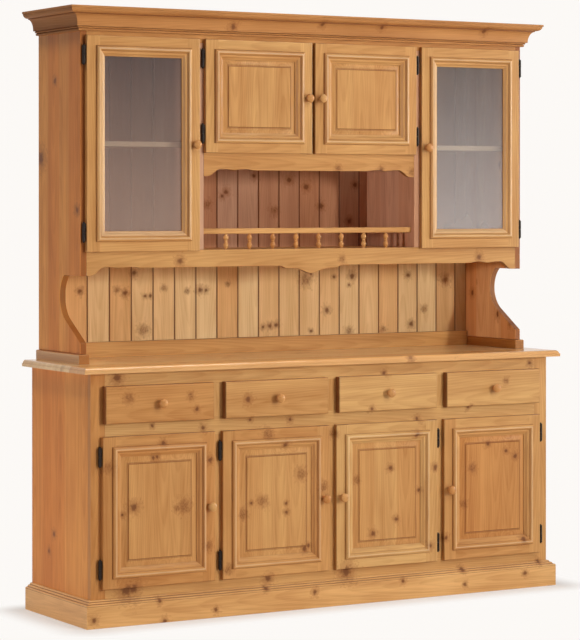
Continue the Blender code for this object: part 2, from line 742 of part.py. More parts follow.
def hutch_back():
    """A back of boards with a V groove at each joint, from the rail on the counter to the top."""
    face = HUTCH_BACK_Y + GAP
    outline = [(HUTCH_INNER, BACK_Y), (-HUTCH_INNER, BACK_Y), (-HUTCH_INNER, face)]
    joint = -HUTCH_INNER + FIRST_BOARD_W
    while joint < HUTCH_INNER - GROOVE_W:
        outline += [(joint - GROOVE_W / 2, face), (joint, face + GROOVE_D), (joint + GROOVE_W / 2, face)]
        joint += BOARD_W
    outline.append((HUTCH_INNER, face))
    low = COUNTER_TOP + GAP + BACK_RAIL_H + GAP
    bm = extruded([(x, y, low) for x, y in outline], (0, 0, FRIEZE_TOP - low))
    add("hutch_back", bm, colour=PINE_INSIDE)


def hutch_boards():
    inside_x = (-HUTCH_INNER, HUTCH_INNER)
    behind_rail = (HUTCH_Y + RAIL_T + GAP, HUTCH_BACK_Y)
    floor_z = (HUTCH_FLOOR_TOP - HUTCH_FLOOR_T, HUTCH_FLOOR_TOP)
    add("hutch_floor", block(inside_x, behind_rail, floor_z))
    niche_x = (-NICHE_HALF + GAP, NICHE_HALF - GAP)
    add("centre_floor", block(niche_x, behind_rail, (CENTRE_FLOOR_TOP - SHELF_T, CENTRE_FLOOR_TOP)))
    shelf_y = (HUTCH_Y + HUTCH_SHELF_SETBACK, HUTCH_BACK_Y)
    shelf_z = (HUTCH_FLOOR_TOP + SHELF_UP, HUTCH_FLOOR_TOP + SHELF_UP + SHELF_T)
    near = PARTITION_X + HUTCH_PARTITION_T / 2 + GAP
    add("hutch_shelf_left", block((-HUTCH_INNER, -near), shelf_y, shelf_z))
    add("hutch_shelf_right", block((near, HUTCH_INNER), shelf_y, shelf_z))


def hutch_top():
    """The top board, with the frieze that carries the cornice standing on its front edge."""
    section = [
        (HUTCH_BACK_Y, CUPBOARD_TOP),
        (HUTCH_Y, CUPBOARD_TOP),
        (HUTCH_Y, FRIEZE_TOP),
        (HUTCH_Y + RAIL_T, FRIEZE_TOP),
        (HUTCH_Y + RAIL_T, CUPBOARD_TOP + TOP_T),
        (HUTCH_BACK_Y, CUPBOARD_TOP + TOP_T),
    ]
    bm = extruded([(-HUTCH_INNER, y, z) for y, z in section], (2 * HUTCH_INNER, 0, 0))
    add("hutch_top", bm)


def cornice():
    """A mitred crown: bead, fillet, deep cove, bevel and a square nose."""
    bead = arc((CORNICE_LIP, CORNICE_BEAD_R), (CORNICE_BEAD_R, CORNICE_BEAD_R), 270, 360, 3)
    out = CORNICE_LIP + CORNICE_BEAD_R
    up = CORNICE_BEAD_R + CORNICE_FILLET
    profile = [(0.0, 0.0)] + bead + [(out, up)]
    out += CORNICE_STEP
    cove_centre = (out + CORNICE_COVE_OUT, up)
    profile += arc(cove_centre, (CORNICE_COVE_OUT, CORNICE_COVE_H), 180, 90, 5)
    out += CORNICE_COVE_OUT
    up += CORNICE_COVE_H + CORNICE_FILLET
    profile.append((out, up))
    out += CORNICE_NOSE
    profile.append((out, up))
    out += CORNICE_BEVEL_OUT
    up += CORNICE_BEVEL_H
    profile.append((out, up))
    out += CORNICE_NOSE
    profile.append((out, up))
    up += CORNICE_TOP_H
    profile += [(out, up), (0.0, up)]
    raised = [(GAP + out, up) for out, up in profile]
    add("cornice", around(raised, HUTCH_W / 2, HUTCH_Y, BACK_Y, CORNICE_Z))


def scallop_end(end, flat, block_z, inward):
    """From an end block up an S curve, over a lobe to a cusp, and over a second lobe to the flat."""
    lobe = flat + LOBE_RISE
    points = [(end, block_z), (end + inward * BLOCK_W, block_z)]
    points += ease(points[-1], (end + inward * (BLOCK_W + OGEE_W), lobe), 5)
    start = BLOCK_W + OGEE_W
    for i in range(1, 4):
        share = i / 3
        fall = 1 - math.cos(math.pi / 2 * share)
        points.append((end + inward * (start + (CUSP_AT - start) * share), lobe - LOBE_RISE * fall))
    for i in range(1, 5):
        share = i / 4
        rise = LOBE_RISE * math.sin(math.pi * share)
        points.append((end + inward * (CUSP_AT + (LOBE_END - CUSP_AT) * share), flat + rise))
    return points


def apron():
    """The rail under the hutch floor: scalloped ends and a double-stepped drop in the middle."""
    flat = SHOULDER_Z + APRON_UP
    step = flat - APRON_STEP_H
    half = scallop_end(-HUTCH_INNER, flat, SHOULDER_Z, 1)
    half.append((-APRON_STEP_OUT, flat))
    half += ease(half[-1], (-APRON_STEP_OUT + APRON_STEP_W, step), 4)
    half.append((-APRON_DROP_W, step))
    half += ease(half[-1], (0.0, step - APRON_DROP_H), 6)
    lower = half + [(-x, z) for x, z in reversed(half[:-1])]
    outline = lower + [(HUTCH_INNER, HUTCH_FLOOR_TOP), (-HUTCH_INNER, HUTCH_FLOOR_TOP)]
    bm = extruded([(x, HUTCH_Y, z) for x, z in outline], (0, RAIL_T, 0))
    add("apron", bm)


def niche_rail():
    """The rail over the open niche, with the same scalloped ends as the apron."""
    flat = CENTRE_FLOOR_TOP - NICHE_RAIL_H
    end = NICHE_HALF - GAP
    half = scallop_end(-end, flat, flat - NICHE_BLOCK_H, 1)
    lower = half + [(-x, z) for x, z in reversed(half)]
    outline = lower + [(end, CENTRE_FLOOR_TOP), (-end, CENTRE_FLOOR_TOP)]
    bm = extruded([(x, HUTCH_Y, z) for x, z in outline], (0, RAIL_T, 0))
    add("niche_rail", bm)


def gallery():
    """A low rail on turned spindles along the front of the niche."""
    half = NICHE_HALF - GAP
    y = HUTCH_Y + GALLERY_SETBACK
    foot = HUTCH_FLOOR_TOP + GAP
    rail_z = (foot + SPINDLE_H, foot + SPINDLE_H + GALLERY_RAIL)
    rail = add("gallery", block((-half, half), (y, y + GALLERY_RAIL), rail_z))
    length = SPINDLE_H + GALLERY_RAIL / 4
    profile = [(0.0, 0.0)]
    for i in range(SPINDLE_RINGS + 1):
        share = i / SPINDLE_RINGS
        radius = SPINDLE_NECK_R + SPINDLE_SWELL * math.sin(2 * math.pi * share) ** 2
        profile.append((radius, SPINDLE_H * share))
    profile += [(SPINDLE_NECK_R, length), (0.0, length)]
    pitch = (2 * half - 2 * SPINDLE_END_GAP) / (SPINDLES - 1)
    spindles = []
    for i in range(SPINDLES):
        at = (-half + SPINDLE_END_GAP + i * pitch, y + GALLERY_RAIL / 2, foot)
        spindles.append(turned(profile, SPINDLE_SIDES, at, (0, 0, 1)))
    boolean(rail, helper("gallery_spindles", merged(*spindles)), "UNION")


# Assembly

base_face_frame()
base_carcass()
drawer_deck()
plinth()
counter_top()
for bay in range(BAYS):
    drawer(f"drawer_{bay + 1}", bay_opening(bay))
    door(f"base_door_{bay + 1}", base_door_span(bay), BASE_DOOR_Z, FRAME_Y, base_door_hand(bay))

hutch_feet()
hutch_uprights()
hutch_back()
hutch_boards()
hutch_top()
cornice()
apron()
niche_rail()
gallery()
for hand, side in ((-1, "left"), (1, "right")):
    glazed_x = sorted((hand * GLAZED_DOOR_EDGE, hand * GLAZED_OUTER))
    door("glazed_door_" + side, glazed_x, GLAZED_DOOR_Z, HUTCH_Y, hand, glazed=True)
    centre_x = sorted((hand * CENTRE_DOOR_GAP / 2, hand * CENTRE_DOOR_EDGE))
    door("centre_door_" + side, centre_x, CENTRE_DOOR_Z, HUTCH_Y, hand)
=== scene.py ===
# %% [markdown]
# # A knotty pine dresser
# The solids of a dresser are loaded first: a cupboard base with four drawers and four doors, and a
# hutch with glazed and panelled doors. This lesson then builds the joiner's real pieces around them,
# board by board, and gives each board its own grain. Loading first matters, because every new piece
# is placed from the size of the solid that it stands for.

# %% Load the solids
import math
import random

import bpy
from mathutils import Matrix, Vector


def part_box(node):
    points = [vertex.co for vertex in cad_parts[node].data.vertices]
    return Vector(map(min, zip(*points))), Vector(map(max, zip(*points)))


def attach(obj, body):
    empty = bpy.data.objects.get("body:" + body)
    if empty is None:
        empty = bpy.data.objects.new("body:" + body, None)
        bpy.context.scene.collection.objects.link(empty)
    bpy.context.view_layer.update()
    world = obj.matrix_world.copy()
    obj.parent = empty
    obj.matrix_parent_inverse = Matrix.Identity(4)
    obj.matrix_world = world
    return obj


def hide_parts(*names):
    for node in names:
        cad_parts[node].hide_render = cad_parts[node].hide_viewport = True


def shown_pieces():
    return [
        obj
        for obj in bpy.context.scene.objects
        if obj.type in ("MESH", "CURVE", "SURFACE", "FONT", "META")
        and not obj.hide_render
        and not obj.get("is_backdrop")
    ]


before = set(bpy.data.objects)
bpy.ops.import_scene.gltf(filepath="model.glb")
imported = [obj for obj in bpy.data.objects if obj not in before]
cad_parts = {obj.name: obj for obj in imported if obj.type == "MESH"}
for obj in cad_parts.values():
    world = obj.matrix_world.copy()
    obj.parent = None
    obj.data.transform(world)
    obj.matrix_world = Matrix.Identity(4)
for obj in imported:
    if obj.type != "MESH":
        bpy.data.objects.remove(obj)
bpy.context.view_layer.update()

# %% [markdown]
# ## Camera
# The picture was taken with a long lens, from the left and a little above the counter. The upright
# edges stay upright in it, which a view camera does by shifting the lens instead of tilting. So the
# camera stands almost level and its lens is shifted down.

# %% Camera
scene = bpy.context.scene
lens = bpy.data.cameras.new("camera")
camera = bpy.data.objects.new("camera", lens)
scene.collection.objects.link(camera)
camera.location = (-4.667, -7.852, 1.447)
camera.rotation_euler = (math.radians(89.637), 0.0, math.radians(-30.438))
lens.lens = 141.15
lens.shift_x = 0.0031
lens.shift_y = -0.1625
scene.camera = camera
scene.view_settings.view_transform = "Standard"
print("camera at", tuple(round(v, 2) for v in camera.location))

# %% [markdown]
# ## Studio
# A furniture studio has several soft lamps. The narrow shadows left of each drawer tell where the main
# one stood: in front, to the right and about head high. It is turned half past the dresser, which makes
# its light fall off softly. A panel overhead warms the left end, a card lifts the foot of that end, and
# two weaker panels, one high and one on the right, shape the mouldings.
# A small lamp on the left draws bars of shade on the right wall of the niche. The last three lamps show
# only as highlights, because a strip box does the same on waxed wood.

# %% Lamps
def lamp(name, place, aim, size, power, tint):
    light = bpy.data.lights.new(name, "AREA")
    light.shape = "RECTANGLE"
    light.size, light.size_y = size
    light.energy = power
    light.color = tint
    made = bpy.data.objects.new(name, light)
    scene.collection.objects.link(made)
    made.location = place
    made.rotation_euler = (Vector(aim) - Vector(place)).to_track_quat("-Z", "Y").to_euler()
    made.visible_camera = False
    return made


main_panel = lamp("main_panel", (3.00, -6.40, 2.05), (-2.8, -4.9, 1.3), (1.0, 1.0), 324, (1.0, 0.98, 0.95))
lamp("top_panel", (-4.00, -0.30, 8.00), (-1.0, 0.0, 0.8), (1.2, 1.2), 215, (1.0, 0.87, 0.72))
left_spot = lamp("left_spot", (-4.60, -2.00, 1.45), (0.0, 0.0, 1.3), (0.30, 0.30), 98, (1.0, 0.92, 0.94))
side_card = lamp("side_card", (-2.20, 0.10, 0.15), (-1.0, 0.1, 0.5), (0.6, 0.3), 5, (1.0, 0.92, 0.80))
high_panel = lamp("high_panel", (1.20, -3.80, 4.40), (-1.6, -0.6, 0.6), (1.2, 1.2), 68, (1.0, 0.98, 0.94))
right_panel = lamp("right_panel", (5.20, -2.40, 1.90), (0.0, -0.2, 1.6), (1.2, 1.2), 48, (1.0, 0.97, 0.92))
for soft in (main_panel, left_spot, side_card, high_panel, right_panel):
    soft.visible_glossy = False
gleams = (
    lamp("right_gleam", (5.20, -2.40, 1.90), (0.0, -0.2, 1.6), (1.6, 1.8), 420, (1.0, 0.95, 0.86)),
    lamp("high_gleam", (1.40, -2.60, 4.60), (0.0, -0.2, 1.2), (1.8, 1.2), 120, (1.0, 0.95, 0.86)),
    lamp("left_gleam", (-5.00, -3.00, 1.40), (0.0, -0.2, 1.0), (0.8, 1.6), 110, (1.0, 0.93, 0.90)),
)
for gleam in gleams:
    gleam.visible_diffuse = False

# %% [markdown]
# ## White surroundings
# The background of the picture is plain white paper. A world as bright as that would light the dresser
# from every side and wash out its shading. So what is seen directly, in a gloss or through a pane is
# white, while the light that falls on the wood is only a faint rosy fill. The floor does the same away
# from the plinth, and close to it the floor is real paper that takes the shadow.

# %% White surroundings
def add_node(tree, kind, values=None, **settings):
    """A shader node with its settings, and with each input linked or set."""
    made = tree.nodes.new("ShaderNode" + kind)
    for key, value in settings.items():
        setattr(made, key, value)
    for key, value in (values or {}).items():
        if isinstance(value, bpy.types.NodeSocket):
            tree.links.new(value, made.inputs[key])
        else:
            made.inputs[key].default_value = value
    return made


def calc(tree, operation, *terms):
    """One step of arithmetic."""
    return add_node(tree, "Math", dict(enumerate(terms)), operation=operation).outputs[0]


def mix(tree, share, one, two):
    """A blend of two colours."""
    colours = {0: share, 6: one, 7: two}
    return add_node(tree, "Mix", colours, data_type="RGBA", clamp_factor=True).outputs[2]


def seen_directly(tree):
    """1 for what the camera, a gloss or a pane of glass sees, and 0 for light on its way."""
    path = add_node(tree, "LightPath").outputs
    straight = calc(tree, "MAXIMUM", path["Is Camera Ray"], path["Is Transmission Ray"])
    return calc(tree, "MAXIMUM", straight, path["Is Glossy Ray"])


AMBIENT = 0.07
ROSY, PAPER_WHITE = (1.25, 0.86, 1.00, 1.0), (0.975, 0.948, 0.920, 1.0)
world = bpy.data.worlds.new("studio")
world.use_nodes = True
scene.world = world
tree = world.node_tree
tree.nodes.clear()
seen = seen_directly(tree)
strength = calc(tree, "MULTIPLY_ADD", seen, 1.0 - AMBIENT, AMBIENT)
tint = mix(tree, seen, ROSY, PAPER_WHITE)
sky = add_node(tree, "Background", {"Color": tint, "Strength": strength})
add_node(tree, "OutputWorld", {"Surface": sky.outputs[0]})
print("surroundings are white")

# %% Floor
def new_finish(name):
    """An empty material, and its tree of nodes."""
    made = bpy.data.materials.new(name)
    made.use_nodes = True
    made.node_tree.nodes.clear()
    return made, made.node_tree


def hypotenuse(tree, one, two):
    """The long side over two legs."""
    squares = [calc(tree, "MULTIPLY", leg, leg) for leg in (one, two)]
    return calc(tree, "SQRT", calc(tree, "ADD", *squares))


def past(tree, place, reach):
    """How far a place lies beyond a reach to either side."""
    return calc(tree, "MAXIMUM", calc(tree, "SUBTRACT", calc(tree, "ABSOLUTE", place), reach), 0.0)


REACH_X, REACH_Y, SHADOW_W, LEAST_WHITE = 0.97, 0.24, 0.16, 0.40
bpy.ops.mesh.primitive_plane_add(size=60.0, location=(0.0, 0.0, -0.0005))
floor = bpy.context.object
floor.name = "floor"
sweep, tree = new_finish("white_sweep")
place = add_node(tree, "TexCoord").outputs["Object"]
part = add_node(tree, "SeparateXYZ", {0: place}).outputs
away = hypotenuse(tree, past(tree, part[0], REACH_X), past(tree, part[1], REACH_Y))
limits = {0: away, 1: 0.0, 2: SHADOW_W, 3: LEAST_WHITE, 4: 1.0}
fade = add_node(tree, "MapRange", limits, interpolation_type="SMOOTHSTEP")
direct = calc(tree, "MULTIPLY", fade.outputs[0], seen_directly(tree))
paper = add_node(tree, "BsdfDiffuse", {"Color": (0.85, 0.84, 0.825, 1.0)})
glow = add_node(tree, "Emission", {"Color": PAPER_WHITE, "Strength": 1.0})
mixed = add_node(tree, "MixShader", {0: direct, 1: paper.outputs[0], 2: glow.outputs[0]})
add_node(tree, "OutputMaterial", {"Surface": mixed.outputs[0]})
floor.data.materials.append(sweep)
floor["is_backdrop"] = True
print("floor laid")

# %% [markdown]
# ## Knots
# Knots are what a pine board is known by, and the larger ones on the front, on the back boards and on
# the left end can be told one by one. Each is noted as a point of the picture and a radius in
# millimetres; a minus marks a soft swirl with no dark eye. A ray from the camera through that point
# meets the near face of the piece, and there the knot lies. Scattered knots would be quicker to make,
# and they still serve on the counter, on the right end and inside.

# %% Where the knots are
FRAME_W, FRAME_H, FILM = 580, 640, 36.0
KNOT_SPREAD = 1.15
FRONT_KNOTS = {
    "base_face_frame": (
        (119, 378, 12), (154, 426, 5), (205, 428, 6), (292, 420, 6), (386, 373, 6), (532, 363, 6),
        (470, 407, 6), (419, 419, 6), (270, 579, 10), (128, 591, 17), (135, 589, 14), (348, 572, 16),
        (252, 420, 5),
    ),
    "plinth": (
        (94, 621, 7), (165, 621, 7), (216, 610, 6), (160, 601, 6), (267, 589, 6), (315, 592, 7),
        (403, 581, 6), (464, 570, 7), (465, 584, 6), (525, 573, 7), (541, 562, 6),
    ),
    "drawer_1": (
        (129, 398, -12), (191, 396, -9), (197, 409, 6), (248, 399, 9), (372, 409, 6), (506, 381, -8),
    ),
    "base_door_1_frame": (
        (164, 443, 7), (109, 468, -12), (155, 458, 6), (159, 457, 6), (211, 460, 8), (209, 546, -11),
        (269, 434, -13), (286, 445, 7), (306, 549, 8), (310, 546, 6), (324, 487, -11), (229, 570, -11),
        (244, 515, -11), (336, 434, -10), (417, 435, 7), (436, 467, 8), (374, 534, 8), (489, 444, 7),
        (465, 504, -9), (507, 451, 6), (431, 546, 8), (447, 538, 7), (524, 539, 9),
    ),
    "base_door_1_panel": (
        (134, 507, 11), (123, 515, 6), (184, 506, -16), (177, 508, -8), (301, 474, -14), (262, 501, -13),
        (251, 503, 5), (286, 503, 5), (286, 512, 6), (390, 468, 7), (396, 519, 7), (357, 480, -9),
        (419, 490, 6), (472, 468, -11), (515, 456, 8),
    ),
    "cornice": ((239, 26, 9), (327, 24, 7), (387, 27, 7), (489, 31, 8)),
    "apron": (
        (180, 261, 9), (342, 259, -9), (479, 257, 9), (338, 169, -9), (381, 170, 7), (412, 172, -9),
    ),
}
BACK_KNOTS = {
    "hutch_back": (
        (80, 291, 7), (125, 293, 8), (117, 290, -8), (134, 273, 7), (145, 296, 5), (150, 296, 5),
        (143, 330, -13), (164, 288, -8), (187, 291, -7), (200, 290, 8), (206, 290, 6), (228, 284, -6),
        (263, 327, 6), (270, 326, 7), (276, 325, 7), (305, 280, -16), (311, 274, 5), (327, 310, 8),
        (334, 277, 5), (352, 276, 9), (349, 285, 4), (311, 331, 5), (349, 331, -10), (408, 275, 7),
        (411, 324, 8), (424, 309, -9), (445, 280, 11), (383, 329, -8),
    ),
}
NICHE_KNOTS = {
    "hutch_back": (
        (226, 192, 8), (222, 196, 6), (254, 176, 7), (289, 180, 9), (306, 187, 10), (274, 211, -12),
        (207, 205, -11), (321, 206, 9), (355, 185, 8), (349, 221, 8),
    ),
}
END_KNOTS = {
    "base_side_left": ((54, 534, 8), (49, 551, 7)),
    "hutch_side_left": ((41, 158, 19), (55, 81, 8), (77, 210, 10)),
}


def seen_at(across, down, axis, value):
    """Where the ray through a point of the picture meets a plane."""
    number = "xyz".index(axis)
    film = FILM / lens.lens
    ray = Vector((
        ((across - FRAME_W / 2) / FRAME_H + lens.shift_x) * film,
        ((FRAME_H / 2 - down) / FRAME_H + lens.shift_y) * film,
        -1.0,
    ))
    ray.rotate(camera.rotation_euler)
    return camera.location + ray * ((value - camera.location[number]) / ray[number])


def placed(seen, axis):
    """Dark and soft knots as (middle, radius), with the axis that looks at them left out."""
    dark, soft = [], []
    for node, marks in seen.items():
        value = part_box(node)[0]["xyz".index(axis)]
        for across, down, size in marks:
            middle = seen_at(across, down, axis, value)
            middle["xyz".index(axis)] = 0.0
            (dark if size > 0 else soft).append((middle, abs(size) * KNOT_SPREAD / 1000.0))
    return axis, dark, soft


front_knots, back_knots = placed(FRONT_KNOTS, "y"), placed(BACK_KNOTS, "y")
niche_knots, end_knots = placed(NICHE_KNOTS, "y"), placed(END_KNOTS, "x")
print("knots on the front:", len(front_knots[1]) + len(front_knots[2]), "first at", front_knots[1][0][0])

# %% [markdown]
# ## Pine
# Pine shows yearly rings: soft pale wood that darkens into a thin hard line. A board is a flat cut
# through those rings, so its face shows arches and long stripes. The finish below rebuilds that: each
# board carries its own coordinates (across, depth, along), the rings are measured from a pith that
# runs a little askew under the face, and knots push the rings aside. One recipe then serves every
# board, and no two boards are alike.

# %% The pine recipe
CREAM, UNCHANGED, LUCK_SHIFT = (0.06, 0.17, 0.28), (1.0, 1.0, 1.0), (9.0, 7.0, 11.0)
HALO_RED, EYE_BROWN = (0.30, 0.105, 0.028, 1.0), (0.135, 0.036, 0.011, 1.0)
# Brown for stain and painted shade, pale for bare wood and painted highlights.
STAIN_AND_SHADE_BROWN, BARE_AND_LIT_PALE = (0.190, 0.056, 0.018, 1.0), (0.950, 0.780, 0.530, 1.0)
RINGS_PER_METRE, RING_WANDER, PITH_TILT, KNOT_PUSH = 190.0, 0.044, 0.035, 0.010
KNOT_CELLS, KNOTLESS, FAR_OFF = 8.5, 0.62, 40.0


def nearest(tree, place, knots):
    """How far off the nearest knot is, in its own radii."""
    nearer = FAR_OFF
    for middle, radius in knots:
        away = add_node(tree, "VectorMath", {0: place, 1: middle}, operation="DISTANCE").outputs["Value"]
        nearer = calc(tree, "MINIMUM", calc(tree, "DIVIDE", away, radius), nearer)
    return nearer


def put_skin(tree, surface):
    """Ends a finish with its shader."""
    skin = add_node(tree, "BsdfPrincipled", surface)
    add_node(tree, "OutputMaterial", {"Surface": skin.outputs[0]})


def pine(name, pale, dark, roughness, coat=0.15, knots=None, polish=0.18):
    """Knotty pine, read from each board's own coordinates and its draw of luck."""
    made, tree = new_finish(name)

    def times(one, two):
        return calc(tree, "MULTIPLY", one, two)

    def times_plus(one, two, more):
        return calc(tree, "MULTIPLY_ADD", one, two, more)

    def vector(operation, *terms):
        return add_node(tree, "VectorMath", dict(enumerate(terms)), operation=operation).outputs[0]

    def split(value):
        return add_node(tree, "SeparateXYZ", {0: value}).outputs

    def clouds(stretch, detail):
        settings = {"Vector": vector("MULTIPLY", spot, stretch), "Scale": 1.0, "Detail": detail}
        return add_node(tree, "TexNoise", settings).outputs["Fac"]

    def ramp(value, low, high, start, end):
        limits = {0: value, 1: low, 2: high, 3: start, 4: end}
        return add_node(tree, "MapRange", limits, interpolation_type="SMOOTHSTEP").outputs[0]

    board = add_node(tree, "Attribute", attribute_name="grain").outputs["Vector"]
    chance = add_node(tree, "Attribute", attribute_name="chance").outputs["Vector"]
    spot = vector("MULTIPLY_ADD", chance, LUCK_SHIFT, board)
    own, far, tone = split(board), split(spot), split(chance)[2]
    speckle = clouds((260.0, 260.0, 130.0), 2.0)
    ragged = times_plus(clouds((110.0, 110.0, 80.0), 2.0), 1.7, 0.15)
    if knots:
        axis, with_eye, without = knots
        flat = tuple(0.0 if letter == axis else 1.0 for letter in "xyz")
        where = vector("MULTIPLY", add_node(tree, "TexCoord").outputs["Object"], flat)
        eye = times(nearest(tree, where, with_eye), ragged)
        swirl = times(nearest(tree, where, without), ragged)
        spotted = times(ramp(swirl, 0.4, 1.5, 0.48, 0.0), ramp(speckle, 0.40, 0.60, 0.15, 1.0))
        core = calc(tree, "MAXIMUM", ramp(eye, 0.4, 1.3, 0.74, 0.0), spotted)
        halo = calc(tree, "MAXIMUM", ramp(eye, 0.8, 3.2, 1.0, 0.0), ramp(swirl, 0.4, 2.6, 1.0, 0.0))
    else:
        face = add_node(tree, "CombineXYZ", {0: far[0], 1: times(far[2], 0.75)}).outputs[0]
        cells = {"Vector": face, "Scale": KNOT_CELLS}
        cell = add_node(tree, "TexVoronoi", cells, voronoi_dimensions="2D").outputs
        kind = split(cell["Color"])
        size = times_plus(times(kind[1], kind[1]), 0.060, 0.028)
        reach = calc(tree, "DIVIDE", times(cell["Distance"], ragged), size)
        reach = times_plus(calc(tree, "LESS_THAN", kind[0], KNOTLESS), FAR_OFF, reach)
        strength = times_plus(calc(tree, "GREATER_THAN", kind[2], 0.5), 0.45, 0.38)
        core = times(ramp(reach, 0.55, 1.05, 1.0, 0.0), strength)
        halo = ramp(reach, 0.7, 3.4, 1.0, 0.0)

    warp = times_plus(clouds((6.0, 6.0, 1.2), 2.0), RING_WANDER, -RING_WANDER / 2)
    side = calc(tree, "ADD", own[0], warp)
    deep = times_plus(own[2], PITH_TILT, own[1])
    pushed = times_plus(halo, KNOT_PUSH, hypotenuse(tree, side, deep))
    streak = clouds((240.0, 240.0, 6.0), 3.0)
    year = calc(tree, "FRACT", times_plus(pushed, RINGS_PER_METRE, times(streak, 0.35)))
    ring = times(ramp(year, 0.25, 0.90, 0.0, 1.0), ramp(year, 0.90, 1.0, 1.0, 0.0))
    broad = clouds((38.0, 38.0, 1.6), 3.0)
    mottle = clouds((9.0, 9.0, 4.0), 2.0)

    fine = times_plus(ring, 0.18, times_plus(streak, 0.60, -0.80))
    depth = calc(tree, "ADD", fine, times_plus(broad, 1.0, times(mottle, 0.75)))
    wood = mix(tree, depth, (*pale, 1.0), (*dark, 1.0))
    toned = vector("MULTIPLY", wood, vector("MULTIPLY_ADD", tone, CREAM, UNCHANGED))
    rosy = mix(tree, times(halo, 0.48), toned, HALO_RED)
    knotty = mix(tree, core, rosy, EYE_BROWN)
    # The edge mark darkens towards brown for end-grain stain and for painted shade; below zero it pales, for
    # bare wood and for painted highlights.
    marked = add_node(tree, "Attribute", attribute_name="edge").outputs["Fac"]
    stain_and_shade = mix(tree, times(marked, 0.75), knotty, STAIN_AND_SHADE_BROWN)
    bare_and_lit = mix(tree, times(marked, -0.8), stain_and_shade, BARE_AND_LIT_PALE)
    rough = times_plus(streak, 0.16, roughness - 0.08)
    height = times_plus(ring, 0.6, times(streak, 0.7))
    bump = add_node(tree, "Bump", {"Strength": 0.25, "Distance": 0.0004, "Height": height})
    put_skin(tree, {
        "Base Color": bare_and_lit, "Roughness": rough, "Normal": bump.outputs[0], "Specular IOR Level": 0.1,
        "Coat Weight": coat, "Coat Roughness": polish,
    })
    return made


front_pine = pine("front_pine", (0.680, 0.355, 0.120), (0.420, 0.170, 0.044), 0.42, knots=front_knots)
# A paler copy of the pine for the plinth: painted light.
plinth_pine = pine("plinth_pine", (0.780, 0.415, 0.148), (0.490, 0.205, 0.057), 0.42, knots=front_knots)
# A darker copy for the cornice: painted shade.
cornice_pine = pine("cornice_pine", (0.600, 0.300, 0.105), (0.365, 0.145, 0.040), 0.50, 0.0, front_knots)
end_pine = pine("end_pine", (0.800, 0.356, 0.088), (0.510, 0.170, 0.031), 0.42, 0.1, end_knots)
# A duller, more mauve copy for the right ends: painted shade.
right_pine = pine("right_pine", (0.710, 0.367, 0.150), (0.454, 0.175, 0.053), 0.42, 0.1)
# A paler, yellower copy for the counter: painted light.
counter_pine = pine("counter_pine", (0.940, 0.655, 0.320), (0.660, 0.390, 0.155), 0.30, 0.6, polish=0.10)
# A paler copy for the lower back boards: painted light that lifts the apron's shade.
back_pine = pine("back_pine", (0.920, 0.650, 0.330), (0.645, 0.380, 0.150), 0.5, 0.0, back_knots)
# A darker, redder copy of the pine for the niche and its partitions: painted shade.
niche_pine = pine("niche_pine", (0.635, 0.345, 0.200), (0.405, 0.188, 0.102), 0.5, 0.0, niche_knots)
inside_pine = pine("inside_pine", (0.580, 0.310, 0.115), (0.370, 0.160, 0.050), 0.55)
print("finishes:", front_pine.name, counter_pine.name, inside_pine.name)

# %% [markdown]
# ## Bench tools
# Every board starts as a squared block, as timber comes to the bench. It is then rounded over along
# chosen edges, sawn at a plane, ripped into narrower boards, or glued to others. These few tools do
# that with Blender's own operators, so each cell after this reads like a list of bench jobs.

# %% Hold, open, square and round over
EASE = 0.001


def lay_down():
    """Nothing is held, and no piece is open on the bench."""
    if bpy.context.object and bpy.context.object.mode != "OBJECT":
        bpy.ops.object.mode_set(mode="OBJECT")
    bpy.ops.object.select_all(action="DESELECT")


def hold(piece):
    lay_down()
    bpy.context.view_layer.objects.active = piece
    piece.select_set(True)


def stock(name, low, high):
    """A squared board between two corners."""
    lay_down()
    low, high = Vector(low), Vector(high)
    bpy.ops.mesh.primitive_cube_add(size=1.0, location=(low + high) / 2)
    board = bpy.context.object
    board.name = name
    board.scale = high - low
    bpy.ops.object.transform_apply(location=True, rotation=True, scale=True)
    return board


def open_all(piece):
    """Opens a piece on the bench with all of it selected."""
    hold(piece)
    bpy.ops.object.mode_set(mode="EDIT")
    bpy.ops.mesh.select_all(action="SELECT")


def open_some(piece, kind, chosen):
    """Opens a piece with only the chosen edges or faces selected."""
    hold(piece)
    bpy.ops.object.mode_set(mode="EDIT")
    bpy.ops.mesh.select_mode(type=kind)
    bpy.ops.mesh.select_all(action="DESELECT")
    bpy.ops.object.mode_set(mode="OBJECT")
    for item in {"EDGE": piece.data.edges, "FACE": piece.data.polygons}[kind]:
        item.select = chosen(item)
    bpy.ops.object.mode_set(mode="EDIT")


def close_up():
    """Turns all faces outward and lays the piece back down."""
    bpy.ops.mesh.select_all(action="SELECT")
    bpy.ops.mesh.normals_make_consistent(inside=False)
    bpy.ops.object.mode_set(mode="OBJECT")


def round_over(board, arrises, width, segments=3):
    """Rounds the edges that lie in both planes of a pair; a plane is (axis, value)."""
    def on_arris(edge):
        ends = [board.data.vertices[i].co for i in edge.vertices]
        return any(
            all(abs(end["xyz".index(axis)] - value) < 1e-5 for end in ends for axis, value in pair)
            for pair in arrises
        )

    open_some(board, "EDGE", on_arris)
    bpy.ops.mesh.bevel(offset=width, offset_type="OFFSET", segments=segments, affect="EDGES")
    bpy.ops.object.mode_set(mode="OBJECT")


def ease_edges(board, width=EASE, segments=2):
    """Takes the sharpness off every square edge."""
    hold(board)
    eased = board.modifiers.new("eased", "BEVEL")
    eased.width = width
    eased.segments = segments
    eased.limit_method = "ANGLE"
    eased.angle_limit = math.radians(40)
    bpy.ops.object.modifier_apply(modifier=eased.name)


print("bench ready")

